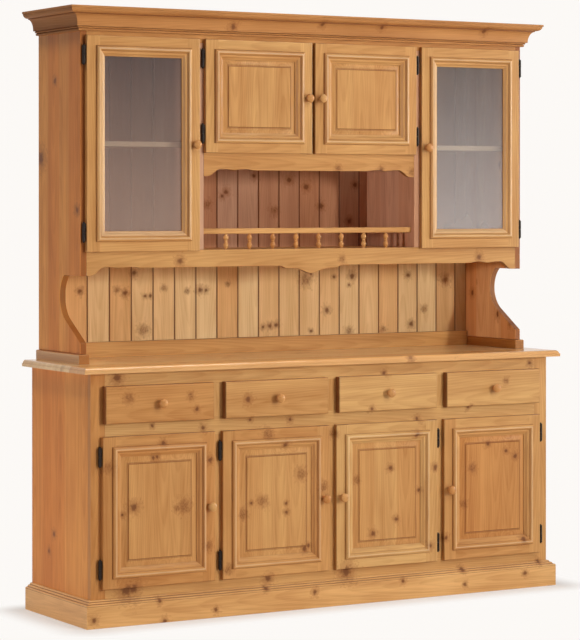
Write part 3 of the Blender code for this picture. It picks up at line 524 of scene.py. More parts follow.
# %% Saw, rip and glue
def saw(piece, point, normal):
    """Cuts off what lies past a plane, and closes the cut."""
    open_all(piece)
    bpy.ops.mesh.bisect(plane_co=point, plane_no=normal, use_fill=True, clear_outer=True)
    bpy.ops.object.mode_set(mode="OBJECT")


def ripped(piece, axis, cuts):
    """Saws a piece into boards at places along an axis."""
    number = "xyz".index(axis)
    normal = Vector((0, 0, 0))
    normal[number] = 1.0
    boards = []
    places = [None, *cuts, None]
    for low, high in zip(places, places[1:]):
        hold(piece)
        bpy.ops.object.duplicate()
        board = bpy.context.object
        if low is not None:
            saw(board, normal * low, -normal)
        if high is not None:
            saw(board, normal * high, normal)
        boards.append(board)
    bpy.data.objects.remove(piece)
    return boards


def glued(name, boards):
    """Joins boards into one piece, and shades its flats flat and its rounds round."""
    lay_down()
    for board in boards:
        board.select_set(True)
    bpy.context.view_layer.objects.active = boards[0]
    bpy.ops.object.join()
    whole = bpy.context.object
    whole.name = name
    whole.data.name = name
    bpy.ops.object.shade_smooth_by_angle(angle=math.radians(38))
    weighted = whole.modifiers.new("flats", "WEIGHTED_NORMAL")
    weighted.keep_sharp = True
    bpy.ops.object.modifier_apply(modifier=weighted.name)
    return whole


def sawn(name, outline, along):
    """A flat outline, cut out and given its length."""
    lay_down()
    bpy.ops.mesh.primitive_circle_add(vertices=len(outline), radius=1.0, fill_type="NGON")
    piece = bpy.context.object
    piece.name = name
    for vertex, corner in zip(piece.data.vertices, outline):
        vertex.co = corner
    open_all(piece)
    bpy.ops.mesh.extrude_region_move(TRANSFORM_OT_translate={"value": along})
    close_up()
    return piece


print("saw and glue ready")

# %% [markdown]
# ## Grain on the boards
# A texture that simply fills space would run straight through every joint, and the dresser would look
# carved from one log. So each board gets two attributes on its points: its own coordinates, turned so
# that one of them follows the grain, and a draw of luck that picks other wood for each board. A third
# one, on its faces, marks the extra stain that end grain takes up and the paler bare wood, and also
# painted shade and painted highlights: darker in quirks, grooves and turned-away edges, paler on lit
# crests and sides.

# %% Lay the grain
luck = random.Random(11)
PITH_ASIDE, PITH_UNDER = 0.055, (0.030, 0.075)
FACE_TURN, END_TURN, END_SOAK, TONE_SPREAD = 0.65, 0.35, 1.5, 0.4


def draw_luck():
    return (luck.random(), luck.random(), luck.uniform(-1.0, 1.0))


def lay_grain(board, along, face, edges=1.0, ends=1.0, stain_and_shade=None):
    """Writes (across, depth, along) on a board whose grain and face look along two axes.

    Its narrow edges are marked for painted shade, and its ends for the extra stain that end grain takes
    up. A test on a face's middle can mark a face too: above zero for stain and painted shade, below zero
    for bare wood and painted highlights.
    """
    mesh = board.data
    along, face = "xyz".index(along), "xyz".index(face)
    across = 3 - along - face
    middle = sum((v.co for v in mesh.vertices), Vector()) / len(mesh.vertices)
    pith = luck.uniform(-PITH_ASIDE, PITH_ASIDE)
    under = luck.choice((-1, 1)) * luck.uniform(*PITH_UNDER)
    drawn = draw_luck()
    grain = mesh.attributes.new("grain", "FLOAT_VECTOR", "POINT")
    chance = mesh.attributes.new("chance", "FLOAT_VECTOR", "POINT")
    edge = mesh.attributes.new("edge", "FLOAT", "FACE")
    for vertex, where, which in zip(mesh.vertices, grain.data, chance.data):
        own = vertex.co - middle
        where.vector = (own[across] + pith, own[face] + under, own[along])
        which.vector = drawn
    for side, mark in zip(mesh.polygons, edge.data):
        turned_away = max(0.0, FACE_TURN - abs(side.normal[face])) * edges
        end_grain = max(0.0, abs(side.normal[along]) - END_TURN) * END_SOAK * ends
        picked = stain_and_shade(side.center) if stain_and_shade else 0.0
        mark.value = picked if picked < 0.0 else min(1.0, max(turned_away, end_grain, picked))
    return board


def copied(piece, name, shift):
    """A copy moved along, with other wood in each of its boards."""
    hold(piece)
    bpy.ops.object.duplicate()
    twin = bpy.context.object
    twin.name = name
    twin.data.name = name
    bpy.ops.transform.translate(value=shift)
    bpy.ops.object.transform_apply(location=True, rotation=True, scale=True)
    if "chance" in twin.data.attributes:
        redrawn = {}
        for item in twin.data.attributes["chance"].data:
            key = tuple(item.vector)
            if key not in redrawn:
                redrawn[key] = draw_luck()
            item.vector = redrawn[key]
    return twin


def set_tone(piece, tone):
    """One tone for all boards of a piece, more orange below 0 and creamier above it."""
    for item in piece.data.attributes["chance"].data:
        one, two, three = item.vector
        item.vector = (one, two, tone + TONE_SPREAD * three)
    return piece


def fit(piece, finish, body, stands_for=(), tone=None):
    """Gives a piece its finish, fixes it to what it moves with, and hides the solid it stands for."""
    if tone is not None:
        set_tone(piece, tone)
    piece.data.materials.clear()
    piece.data.materials.append(finish)
    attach(piece, body)
    if stands_for:
        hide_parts(*stands_for)
    return piece


print("grain ready")

# %% [markdown]
# ## Plain boards
# The floors, backs, shelves and sides are plain panels, glued up from boards about a hand wide. They
# could stay as single blocks, but then one grain would run over half a metre. Here each panel is made
# at its solid's size, its edges are eased, and it is ripped into boards that each get their own grain.
# The top with its frieze and the deck that the drawers run on are built the same way, with a few strips
# added. Here and later, a hair or a little slack is left where two pieces would lie in one plane.

# %% Glue up the plain panels
UNEVEN, HAIR, SLACK = 0.15, 0.0003, 0.0002


def panel_boards(name, low, high, along, face, count, soft=EASE, stain_and_shade=None):
    """A panel ripped into boards side by side."""
    slab = stock(name, low, high)
    ease_edges(slab, soft)
    across = "xyz".replace(along, "").replace(face, "")
    number = "xyz".index(across)
    step = (high[number] - low[number]) / count
    cuts = [low[number] + step * i + luck.uniform(-UNEVEN, UNEVEN) * step for i in range(1, count)]
    return [lay_grain(board, along, face, stain_and_shade=stain_and_shade) for board in ripped(slab, across, cuts)]


PLAIN_PANELS = (
    ("base_side_left", "z", "x", 5, end_pine, "base_pine"),
    ("base_side_right", "z", "x", 5, right_pine, "base_pine"),
    ("base_floor", "x", "z", 4, inside_pine, "inside_pine"),
    ("base_back", "z", "y", 16, inside_pine, "inside_pine"),
    ("base_partition", "z", "x", 4, inside_pine, "inside_pine"),
    ("base_shelf_left", "x", "z", 4, inside_pine, "inside_pine"),
    ("base_shelf_right", "x", "z", 4, inside_pine, "inside_pine"),
    ("hutch_floor", "x", "z", 3, front_pine, "hutch_pine"),
    ("centre_floor", "x", "z", 3, front_pine, "hutch_pine"),
    ("hutch_shelf_left", "x", "z", 3, front_pine, "hutch_pine"),
    ("hutch_shelf_right", "x", "z", 3, front_pine, "hutch_pine"),
)
LIT_SHELF_EDGE, BARE_OUTSIDE = -1.0, -0.3


def paler(spot):
    """A painted highlight on the front edges of the hutch's shelves, and bare wood on the back of the base.
    """
    if node.startswith("hutch_shelf") and spot.y < low.y + 0.002:
        return LIT_SHELF_EDGE
    return BARE_OUTSIDE if node == "base_back" and spot.y > high.y - SLACK else 0.0


for node, along, face, count, finish, slot in PLAIN_PANELS:
    low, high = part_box(node)
    boards = panel_boards(node + "_board", low, high, along, face, count, stain_and_shade=paler)
    fit(glued(node + "_boards", boards), finish, "cabinet", [node])
print("plain panels:", len(PLAIN_PANELS))

# %% Top board, frieze and drawer deck
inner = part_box("hutch_floor")[1].x
hutch_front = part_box("hutch_top")[0].y
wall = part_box("hutch_back")[1].y
cupboard_top, frieze_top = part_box("hutch_top")[0].z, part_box("hutch_top")[1].z
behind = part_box("hutch_top")[1].y
RAIL_T, TOP_T, GUIDE_H = 0.020, 0.022, 0.03
top_low = (-inner, hutch_front + RAIL_T + SLACK, cupboard_top)
top_boards = panel_boards("top_board", top_low, (inner, behind, cupboard_top + TOP_T), "x", "z", 3)
frieze = stock("frieze", (-inner, hutch_front, cupboard_top), (inner, hutch_front + RAIL_T, frieze_top))
ease_edges(frieze)
top_boards.append(lay_grain(frieze, "x", "y"))
fit(glued("hutch_top_boards", top_boards), front_pine, "cabinet", ["hutch_top"])

deck_low, deck_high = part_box("drawer_deck")
deck_face = deck_high.z - GUIDE_H
BAYS = ((-0.896, -0.493), (-0.433, -0.030), (0.030, 0.433), (0.493, 0.896))
deck = panel_boards("deck", deck_low, (deck_high.x, deck_high.y, deck_face), "x", "z", 4)
guide_edges = [deck_low.x] + [edge for bay in BAYS for edge in bay] + [deck_high.x]
for left, right in zip(guide_edges[0::2], guide_edges[1::2]):
    guide = stock("guide", (left, deck_low.y, deck_face), (right, deck_high.y, deck_high.z))
    ease_edges(guide)
    deck.append(lay_grain(guide, "y", "z"))
fit(glued("drawer_deck_boards", deck), inside_pine, "cabinet", ["drawer_deck"])
print("top and deck glued")

# %% [markdown]
# ## Face frame
# The front of the base is a lattice of uprights and rails, mortised together flush. It shows only as
# strips between the drawers and doors, but it carries them all. The two end stiles run full height,
# the rails run between them, and short uprights stand between the rails.

# %% Face frame
base_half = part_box("base_side_right")[1].x
carcass_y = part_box("base_side_left")[0].y
FRAME_T = 0.022
frame_y = carcass_y - FRAME_T - HAIR
base_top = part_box("base_side_left")[1].z
stile_x = BAYS[0][0]
RAILS = ((0.0, 0.1388), (0.6324, 0.6958), (0.8077, base_top))
LEFT_TONE, RIGHT_TONE, RAIL_TONE, UPRIGHT_TONE = -0.6, 1.0, 1.3, 1.2
lattice = []


def frame_board(x0, x1, z0, z1, along, tone):
    board = stock("frame_board", (x0, frame_y, z0), (x1, frame_y + FRAME_T, z1))
    ease_edges(board, 0.0006)
    lattice.append(set_tone(lay_grain(board, along, "y", 0.2), tone))


for side, tone in ((-1, LEFT_TONE), (1, RIGHT_TONE)):
    frame_board(*sorted((side * base_half, side * -stile_x)), 0.0, base_top, "z", tone)
for z0, z1 in RAILS:
    frame_board(stile_x, -stile_x, z0, z1, "x", RAIL_TONE)
for (_, low_z), (high_z, _) in zip(RAILS, RAILS[1:]):
    for (_, left), (right, _) in zip(BAYS, BAYS[1:]):
        frame_board(left, right, low_z, high_z, "z", UPRIGHT_TONE)
fit(glued("face_frame", lattice), front_pine, "cabinet", ["base_face_frame"])
print("face frame from", frame_y)

# %% [markdown]
# ## Mouldings
# A moulding is one section pushed along a straight line, and a mitre is a saw cut at 45 degrees where
# two runs meet. The plinth and the cornice go round the left end, the front and the right end. A
# curve with a bevel profile could follow that path, but three sawn runs keep the corner crisp, and
# each run gets grain along its own length.

# %% Curves for sections, and a mitred run
# Painted shade in quirks and V grooves.
PAINTED_GROOVE_SHADE = 0.9


def arc(centre, radii, first, last, steps):
    """Points on an ellipse from one angle to another, in degrees."""
    turns = [math.radians(first + (last - first) * i / steps) for i in range(steps + 1)]
    return [(centre[0] + radii[0] * math.cos(t), centre[1] + radii[1] * math.sin(t)) for t in turns]


def s_curve(start, end, steps):
    """Points on a wave from one point to another, level at both ends, without the first."""
    points = []
    for i in range(1, steps + 1):
        share = i / steps
        lift = (1 - math.cos(math.pi * share)) / 2
        points.append((start[0] + (end[0] - start[0]) * share, start[1] + (end[1] - start[1]) * lift))
    return points


def run(name, section, start, end, inward, up, mitres, spare=0.0):
    """A section of (inward, up) points pushed from start to end, and mitred there as asked."""
    start, end, inward, up = Vector(start), Vector(end), Vector(inward), Vector(up)
    way = (end - start).normalized()
    begin = start - way * (spare if mitres[0] else 0.0)
    finish = end + way * (spare if mitres[1] else 0.0)
    piece = sawn(name, [begin + inward * w + up * u for w, u in section], finish - begin)
    if mitres[0]:
        saw(piece, start, inward - way)
    if mitres[1]:
        saw(piece, end, inward + way)
    return piece


def round_the_front(name, section, half, front, back, z, spare, quirks, left_return_shading):
    """Left, front and right runs of a moulding that stands out from a case, with painted shade in its quirks
    and painted shading, of either sign, on its left return.
    """
    turned_out = [(-out, up) for out, up in section]
    left_corner, right_corner = (-half, front, z), (half, front, z)
    left_end, right_end = (-half, back, z), (half, back, z)
    ways = (
        (left_corner, left_end, (1, 0, 0), (True, False), "y", "x"),
        (left_corner, right_corner, (0, 1, 0), (True, True), "x", "y"),
        (right_corner, right_end, (-1, 0, 0), (True, False), "y", "x"),
    )

    def in_quirk(spot):
        if any(low < spot.z - z < high for low, high in quirks):
            return PAINTED_GROOVE_SHADE
        return left_return_shading if spot.x < -half else 0.0

    lengths = []
    for start, end, inward, mitres, along, face in ways:
        length = run(name, turned_out, start, end, inward, (0, 0, 1), mitres, spare)
        lengths.append(lay_grain(length, along, face, 0.0, 1.0, in_quirk))
    return lengths


print("sections ready")

# %% Plinth
REED_OUT, REED_H, REED_RISER, REED_TREAD = 0.0067, 0.005, 0.0015, 0.002
PLINTH_FACE, TOE_EASE = 0.0742, 0.001
out, up = 3 * (REED_OUT + REED_TREAD), PLINTH_FACE
skirting = [(HAIR, 0.0), (out - TOE_EASE, 0.0), (out, TOE_EASE), (out, up)]
# The risers under the reeds are marked for painted shade.
quirks = []
for reed in range(3):
    quirks.append((up - SLACK, up + REED_RISER + SLACK))
    up += REED_RISER
    out -= REED_OUT
    skirting += arc((out, up), (REED_OUT, REED_H), 0, 90, 6)
    up += REED_H
    out -= REED_TREAD
    skirting.append((out + HAIR, up))
# The left return of the plinth is painted paler: painted light.
runs = round_the_front(
    "plinth_run", skirting, base_half, frame_y, wall, 0.0, spare=0.06, quirks=quirks, left_return_shading=-0.14
)
plinth = glued("plinth_runs", runs)
fit(plinth, plinth_pine, "cabinet", ["plinth"], tone=0.8)
print("plinth", len(plinth.data.polygons), "faces")

# %% Cornice
cornice_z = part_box("cornice")[0].z
HUTCH_SIDE_T = 0.023
hutch_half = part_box("hutch_top")[1].x + HUTCH_SIDE_T + HAIR
LOW_BEAD, HIGH_BEAD, COVE_W, COVE_H, OVOLO_W, OVOLO_H = 0.0042, 0.0031, 0.0195, 0.0405, 0.0175, 0.016
LOW_OUT, FILLET_OUT, HIGH_OUT, COVE_OUT, OVOLO_OUT, CAP_OUT = 0.0068, 0.0108, 0.0112, 0.0205, 0.043, 0.0635
FILLET_UP, COVE_UP, OVOLO_UP, CAP_UP, CROWN_UP = 0.0091, 0.0155, 0.059, 0.075, 0.0825
crown = [(HAIR, 0.0)] + arc((LOW_OUT, LOW_BEAD), (LOW_BEAD, LOW_BEAD), 270, 450, 8)
crown += [(LOW_OUT, FILLET_UP), (FILLET_OUT, FILLET_UP)]
crown += arc((HIGH_OUT, FILLET_UP + HIGH_BEAD), (HIGH_BEAD, HIGH_BEAD), 270, 450, 7)
crown += arc((COVE_OUT + COVE_W, COVE_UP), (COVE_W, COVE_H), 180, 90, 12)
crown += [(COVE_OUT + COVE_W, OVOLO_UP)]
crown += arc((OVOLO_OUT, OVOLO_UP + OVOLO_H), (OVOLO_W, OVOLO_H), 270, 360, 7)
crown += [(CAP_OUT - 0.0008, CAP_UP), (CAP_OUT, CAP_UP + 0.0008)]
crown += [(CAP_OUT, CROWN_UP - 0.0007), (CAP_OUT - 0.0007, CROWN_UP), (HAIR, CROWN_UP)]
# Painted shade in the small quirks of the cornice.
quirks = [(0.0083, 0.0092), (0.0152, 0.0157), (0.0559, 0.0592), (0.0749, 0.0752)]
# The left return of the cornice is painted darker: painted shade.
runs = round_the_front(
    "cornice_run", crown, hutch_half, hutch_front, wall, cornice_z, spare=0.12, quirks=quirks, left_return_shading=0.3
)
cornice = glued("cornice_runs", runs)
fit(cornice, cornice_pine, "cabinet", ["cornice"], tone=-0.2)
print("cornice", len(cornice.data.polygons), "faces")

# %% [markdown]
# ## Counter top
# The counter is a thick glued slab whose front and ends are moulded: a square lower edge, a small
# quirk and a quarter round. Starting from its underside, the face is extruded up in small lifts and
# drawn in a little each time, always about the middle of the straight back edge. Then it is ripped
# into boards that run its whole length; the front one is the most orange.

# %% Counter top
low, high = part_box("counter_top")
lay_down()
bpy.ops.mesh.primitive_plane_add(size=1.0, location=((low.x + high.x) / 2, (low.y + high.y) / 2, low.z))
counter = bpy.context.object
counter.name = "counter"
counter.scale = (high.x - low.x, high.y - low.y, 1.0)
bpy.ops.object.transform_apply(location=True, rotation=True, scale=True)
EDGE_QUIRK, EDGE_R = 0.003, 0.012
COUNTER_SHARES, COUNTER_TONES = (0.24, 0.47, 0.72), (-1.4, 0.3, 0.6, 0.6)
square = high.z - low.z - EDGE_R
lifts = [(0.0, square), (EDGE_QUIRK, square)]
lifts += arc((EDGE_QUIRK + EDGE_R, square), (EDGE_R, EDGE_R), 180, 90, 7)[1:]
open_all(counter)
wide, deep, risen = (high.x - low.x) / 2, high.y - low.y, 0.0
inset = 0.0
for inward, lift in lifts:
    bpy.ops.mesh.extrude_region_move(TRANSFORM_OT_translate={"value": (0, 0, lift - risen)})
    narrower = ((wide - inward) / (wide - inset), (deep - inward) / (deep - inset), 1.0)
    bpy.ops.transform.resize(value=narrower, center_override=(0.0, high.y, low.z + lift))
    inset, risen = inward, lift
bpy.ops.mesh.select_all(action="SELECT")
bpy.ops.mesh.remove_doubles(threshold=1e-6)
close_up()
counter_cuts = [low.y + deep * share for share in COUNTER_SHARES]
planks = [lay_grain(board, "x", "z", 0.1, 0.2) for board in ripped(counter, "y", counter_cuts)]
for plank, tone in zip(planks, COUNTER_TONES):
    set_tone(plank, tone)
counter = glued("counter_boards", planks)
fit(counter, counter_pine, "cabinet", ["counter_top"])
print("counter", [round(v, 4) for v in counter.dimensions])

# %% [markdown]
# ## Turned pieces
# Knobs, spindles and hinge barrels come off a lathe: a profile spun round an axis. The outline is laid
# out as a loop of points from the axis back to the axis, spun through a full turn, and its doubled
# points are merged so that no seam shows.

# %% A lathe, and the knobs
def turned(name, profile, foot, axis, radial, sides):
    """Spins (along, radius) points round an axis that starts at a foot."""
    foot, axis, radial = Vector(foot), Vector(axis), Vector(radial)
    lay_down()
    bpy.ops.mesh.primitive_circle_add(vertices=len(profile), radius=1.0, fill_type="NOTHING")
    piece = bpy.context.object
    piece.name = name
    for vertex, (along, radius) in zip(piece.data.vertices, profile):
        vertex.co = foot + axis * along + radial * radius
    open_all(piece)
    bpy.ops.mesh.spin(steps=sides, angle=2 * math.pi, center=foot, axis=axis)
    bpy.ops.mesh.select_all(action="SELECT")
    bpy.ops.mesh.remove_doubles(threshold=1e-5)
    bpy.ops.mesh.delete_loose()
    close_up()
    return piece


KNOB_LEN, KNOB_R, FOOT_R, NECK_R = 0.029, 0.016, 0.0095, 0.0066
FOOT_EASE, FOOT_T, NECK_AT, NECK_HALF, HEAD_AT, HEAD_UNDER = 0.0005, 0.0026, 0.0085, 0.0055, 0.020, 0.006
knob_outline = [(0.0, 0.0), (0.0, FOOT_R - FOOT_EASE), (FOOT_EASE, FOOT_R), (FOOT_T, FOOT_R)]
neck = arc((FOOT_R, NECK_AT), (FOOT_R - NECK_R, NECK_HALF), 270, 90, 8)
under = arc((FOOT_R, HEAD_AT), (KNOB_R - FOOT_R, HEAD_UNDER), 270, 360, 6)[1:]
head = arc((0.0, HEAD_AT), (KNOB_R, KNOB_LEN - HEAD_AT), 0, 90, 10)[1:]
knob_outline += [(along, radius) for radius, along in neck + under + head]
knob_outline[-1] = (KNOB_LEN, 0.0)
master_knob = turned("knob", knob_outline, (0, 0, 0), (0, -1, 0), (1, 0, 0), 32)
master_knob = glued("knob", [lay_grain(master_knob, "y", "z", 0.0, 0.0)])
print("knob", len(master_knob.data.polygons), "faces")


def put_knob(node, body):
    low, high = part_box(node)
    foot = Vector(((low.x + high.x) / 2, high.y, (low.z + high.z) / 2))
    fit(copied(master_knob, node + "_turned", foot), front_pine, body, [node])


# %% [markdown]
# ## Drawers
# A drawer is a thick front with well rounded edges, on a thin box. The front overlaps its opening all
# round, so no gap shows. The box is only seen when the drawer is pulled out, but it is built as a real
# one: two sides, a back and a bottom board.

# %% Drawers
DRAWER_T, DRAWER_ROUND, WALL_T, BOTTOM_T = 0.0245, 0.006, 0.012, 0.009
DRAWER_DEEP, DRAWER_PLAY, DOOR_GAP = 0.400, 0.002, 0.0005
DRAWER_TONES = (0.2, 0.5, 1.3, 1.2)
front_back = frame_y - DOOR_GAP
drawer_front_y = front_back - DRAWER_T
low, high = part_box("drawer_1")
front = stock("drawer_front", (low.x, drawer_front_y, low.z), (high.x, front_back, high.z))
face = ("y", drawer_front_y)
arrises = [(face, side) for side in (("x", low.x), ("x", high.x), ("z", low.z), ("z", high.z))]
round_over(front, arrises, DRAWER_ROUND, 5)
# The sides of the drawer front get more painted shade, for the dark gap beside each drawer.
timber = [lay_grain(front, "x", "y", 1.2)]
left, right = BAYS[0][0] + DRAWER_PLAY, BAYS[0][1] - DRAWER_PLAY
floor_z, rim_z = 0.6964, 0.8017
box_back = front_back + DRAWER_DEEP
for x in (left, right - WALL_T):
    wall_board = stock("drawer_wall", (x, front_back, floor_z), (x + WALL_T, box_back, rim_z))
    ease_edges(wall_board)
    timber.append(lay_grain(wall_board, "y", "x"))
end = stock("drawer_end", (left + WALL_T, box_back - WALL_T, floor_z), (right - WALL_T, box_back, rim_z))
ease_edges(end)
timber.append(lay_grain(end, "x", "y"))
bottom_low = (left + WALL_T, front_back, floor_z)
bottom_high = (right - WALL_T, box_back - WALL_T, floor_z + BOTTOM_T)
timber += panel_boards("drawer_bottom", bottom_low, bottom_high, "x", "z", 3, soft=0.0005)
first_drawer = glued("drawer_1_boards", timber)
for number, (bay_left, _) in enumerate(BAYS):
    node, body = f"drawer_{number + 1}", f"drawer_body_{number + 1}"
    made = first_drawer
    if number:
        made = copied(first_drawer, node + "_boards", (bay_left - BAYS[0][0], 0, 0))
    fit(made, front_pine, body, [node], DRAWER_TONES[number])
    put_knob(f"drawer_knob_{number + 1}", body)
print("drawers: 4, front at", round(drawer_front_y, 4))

# %% [markdown]
# ## Doors
# Each door is a frame of two stiles and two rails, with a raised moulding planted round its inside.
# The moulding holds a fielded panel in the solid doors and a pane in the glazed ones. Its crest carries
# a painted highlight and its foot, lip and ledge corner painted shade, so these faces are marked while
# the moulding is still in runs; on the glazed doors the bottom and left runs carry a painted highlight
# inside as well. A fielded panel starts as a flat board whose face is inset a few times, and each inset
# lifts or sinks it a little. One door of each size is made and then copied, because a joiner also makes
# them as a set.

# %% Door frames
DOOR_T, DOOR_ROUND, TENON, REBATE, LIP = 0.0165, 0.003, 0.050, 0.061, 0.071
FLAT, QUIRK, CREST_AT, CREST_W, CREST_UP = 0.0345, 0.0022, 0.0475, 0.0022, 0.0110
LEDGE_AT, LEDGE_W, LEDGE_UP, BACK_STEP, SEAT_T = 0.0548, 0.0048, 0.0190, 0.0125, 0.0085
foot, crest = DOOR_T + QUIRK, DOOR_T + CREST_UP
swell = (CREST_AT - CREST_W - FLAT - 0.0012, crest - foot)
crest_end, ledge_end = (CREST_AT, crest - SLACK), (LEDGE_AT + LEDGE_W, LEDGE_UP)
moulding = [(TENON + SLACK, 0.0), (TENON + SLACK, BACK_STEP), (FLAT + HAIR, BACK_STEP), (FLAT + HAIR, foot)]
moulding += arc((CREST_AT - CREST_W, foot), swell, 180, 90, 6)
moulding += [crest_end] + s_curve(crest_end, (LEDGE_AT, LEDGE_UP), 6)
moulding += [ledge_end] + s_curve(ledge_end, (LIP - 0.0027, 0.0117), 5)
moulding += [(LIP - 0.0012, 0.0113), (LIP - SLACK, 0.0105), (LIP, 0.0095), (LIP, SEAT_T)]
moulding += [(REBATE, SEAT_T), (REBATE, 0.0)]
# Painted highlight on the crest and on lit inner runs, painted shade at the ledge corner, foot and lip.
PAINTED_CREST_LIGHT, PAINTED_QUIRK_SHADE, PAINTED_LEDGE_SHADE, PAINTED_SLOPE_LIGHT = -0.30, 0.8, 0.45, -0.30


def door_frame(name, x, z, back, lit_runs=()):
    """Stiles and rails with rounded outer edges, and four mitred runs of moulding."""
    (x0, x1), (z0, z1) = x, z
    front = back - DOOR_T
    face = ("y", front)
    timber = []
    for outer, inner_edge in ((x0, x0 + TENON), (x1, x1 - TENON)):
        left, right = sorted((outer, inner_edge))
        stile = stock("stile", (left, front, z0), (right, back, z1))
        round_over(stile, [(face, ("x", outer)), (face, ("z", z0)), (face, ("z", z1))], DOOR_ROUND)
        timber.append(lay_grain(stile, "z", "y", 0.5))
    for outer, inner_edge in ((z0, z0 + TENON), (z1, z1 - TENON)):
        low, high = sorted((outer, inner_edge))
        rail = stock("rail", (x0 + TENON, front, low), (x1 - TENON, back, high))
        round_over(rail, [(face, ("z", outer))], DOOR_ROUND)
        timber.append(lay_grain(rail, "x", "y"))

    # Painted light and shade on the moulding faces, by their distance from the door's edge.
    def in_quirk(spot):
        inset = min(spot.x - x0, x1 - spot.x, spot.z - z0, z1 - spot.z)
        if CREST_AT - 2 * CREST_W < inset < CREST_AT:
            return PAINTED_CREST_LIGHT
        if LEDGE_AT - 0.0020 < inset < LEDGE_AT:
            return PAINTED_LEDGE_SHADE
        if i in lit_runs and LEDGE_AT < inset < LIP - 0.0030:
            return PAINTED_SLOPE_LIGHT
        return PAINTED_QUIRK_SHADE if inset < FLAT + 0.0010 or inset > LIP - HAIR else 0.0

    corners = [(x0, back, z0), (x1, back, z0), (x1, back, z1), (x0, back, z1)]
    inward = [(0, 0, 1), (-1, 0, 0), (0, 0, -1), (1, 0, 0)]
    ahead, mitred = (0, -1, 0), (True, True)
    for i in range(4):
        length = run("moulding", moulding, corners[i], corners[(i + 1) % 4], inward[i], ahead, mitred)
        timber.append(lay_grain(length, "xz"[i % 2], "y", 0.0, 0.0, in_quirk))
    return glued(name, timber)


base_door_z = (0.1268, 0.6444)
OVERLAP = 0.01475
base_door_x = [(left - OVERLAP, right + OVERLAP) for left, right in BAYS]
first_frame = door_frame("base_door_1_joinery", base_door_x[0], base_door_z, front_back)
print("door frame", len(first_frame.data.polygons), "faces")

# %% Fielded panels
BASE_BEVEL, HUTCH_BEVEL, BEVEL_RISE, STEP, STEP_W = 0.024, 0.020, 0.0050, 0.0024, 0.0022
QUIRK_W, QUIRK_DEEP, FIELD_QUIRK_SHADE = 0.005, 0.0010, 0.55
MARGIN, PANEL_T, PANEL_SEAT, PANEL_PLAY = 0.010, 0.007, 0.001, 0.0005


def fielded_panel(name, x, z, back, bevel):
    """A board inset to a hollow bevel and a small step round its raised field, ripped into three."""
    edge = REBATE + PANEL_PLAY
    seat = back - PANEL_SEAT
    low = (x[0] + edge, seat - PANEL_T, z[0] + edge)
    high = (x[1] - edge, seat, z[1] - edge)
    board = stock(name, low, high)
    open_some(board, "FACE", lambda side: side.normal.y < -0.9)
    half = (bevel - QUIRK_W) / 2
    hollow = ((MARGIN, 0.0), (half, BEVEL_RISE * 0.3), (half, BEVEL_RISE * 0.7))
    for thickness, depth in (*hollow, (QUIRK_W, -QUIRK_DEEP), (STEP_W, STEP + QUIRK_DEEP)):
        bpy.ops.mesh.inset(thickness=thickness, depth=depth, use_even_offset=True)
    bpy.ops.object.mode_set(mode="OBJECT")
    quirk = MARGIN + bevel - QUIRK_W

    # Painted shade in the quirk round the field.
    def in_quirk(spot):
        inset = min(spot.x - low[0], high[0] - spot.x, spot.z - low[2], high[2] - spot.z)
        return FIELD_QUIRK_SHADE if quirk < inset < quirk + QUIRK_W else 0.0

    width = high[0] - low[0]
    cuts = [low[0] + width * (share + luck.uniform(-0.06, 0.06)) for share in (0.34, 0.67)]
    return glued(name, [lay_grain(strip, "z", "y", stain_and_shade=in_quirk) for strip in ripped(board, "x", cuts)])


DOOR_TONES, FIELD_TONES = (-0.2, 0.3, 2.0, 0.7), (0.1, 0.5, 0.6, -0.6)
first_panel = fielded_panel("base_door_1_field", base_door_x[0], base_door_z, front_back, BASE_BEVEL)
for number, (left, _) in enumerate(base_door_x):
    node = f"base_door_{number + 1}"
    shift = (left - base_door_x[0][0], 0, 0)
    joinery = copied(first_frame, node + "_joinery", shift) if number else first_frame
    field = copied(first_panel, node + "_field", shift) if number else first_panel
    fit(joinery, front_pine, node, [node + "_frame"], DOOR_TONES[number])
    fit(field, front_pine, node, [node + "_panel"], FIELD_TONES[number])
    put_knob(node + "_knob", node)
print("base doors: 4")

# %% Hutch doors
door_back = hutch_front - DOOR_GAP
glazed_z, centre_z = (1.2683, 2.0137), (1.6133, 2.0137)
GLAZED_X, CENTRE_X = (0.466, 0.9072), (0.006, 0.4436)


def on_side(span, side):
    return tuple(sorted((span[0] * side, span[1] * side)))


# The bottom and left inner runs of a glazed door carry a painted highlight.
glazed_frame = door_frame("glazed_door_left_joinery", on_side(GLAZED_X, -1), glazed_z, door_back, (0, 3))
centre_frame = door_frame("centre_door_left_joinery", on_side(CENTRE_X, -1), centre_z, door_back)
centre_panel = fielded_panel(
    "centre_door_left_field", on_side(CENTRE_X, -1), centre_z, door_back, HUTCH_BEVEL
)
apart_glazed = (GLAZED_X[0] + GLAZED_X[1], 0, 0)
apart_centre = (CENTRE_X[0] + CENTRE_X[1], 0, 0)
hutch_doors = {
    "glazed_door_left": (glazed_frame, None),
    "glazed_door_right": (copied(glazed_frame, "glazed_door_right_joinery", apart_glazed), None),
    "centre_door_left": (centre_frame, centre_panel),
    "centre_door_right": (
        copied(centre_frame, "centre_door_right_joinery", apart_centre),
        copied(centre_panel, "centre_door_right_field", apart_centre),
    ),
}
for body, (joinery, field) in hutch_doors.items():
    fit(joinery, front_pine, body, [body + "_frame"], tone=0.7)
    if field:
        fit(field, front_pine, body, [body + "_panel"], tone=0.6)
    put_knob(body + "_knob", body)
bpy.data.objects.remove(master_knob)
print("hutch doors:", len(hutch_doors))

# %% [markdown]
# ## Panes
# The panes look hazy and grey: they mirror a grey studio and show the shelf behind only faintly. Clear
# glass in the render would show a dark cupboard instead. So the pane is a thin gloss whose grey is a
# painted reflection of that studio; it lets about two thirds of the light straight through, paler
# towards its foot and with faint upright streaks.

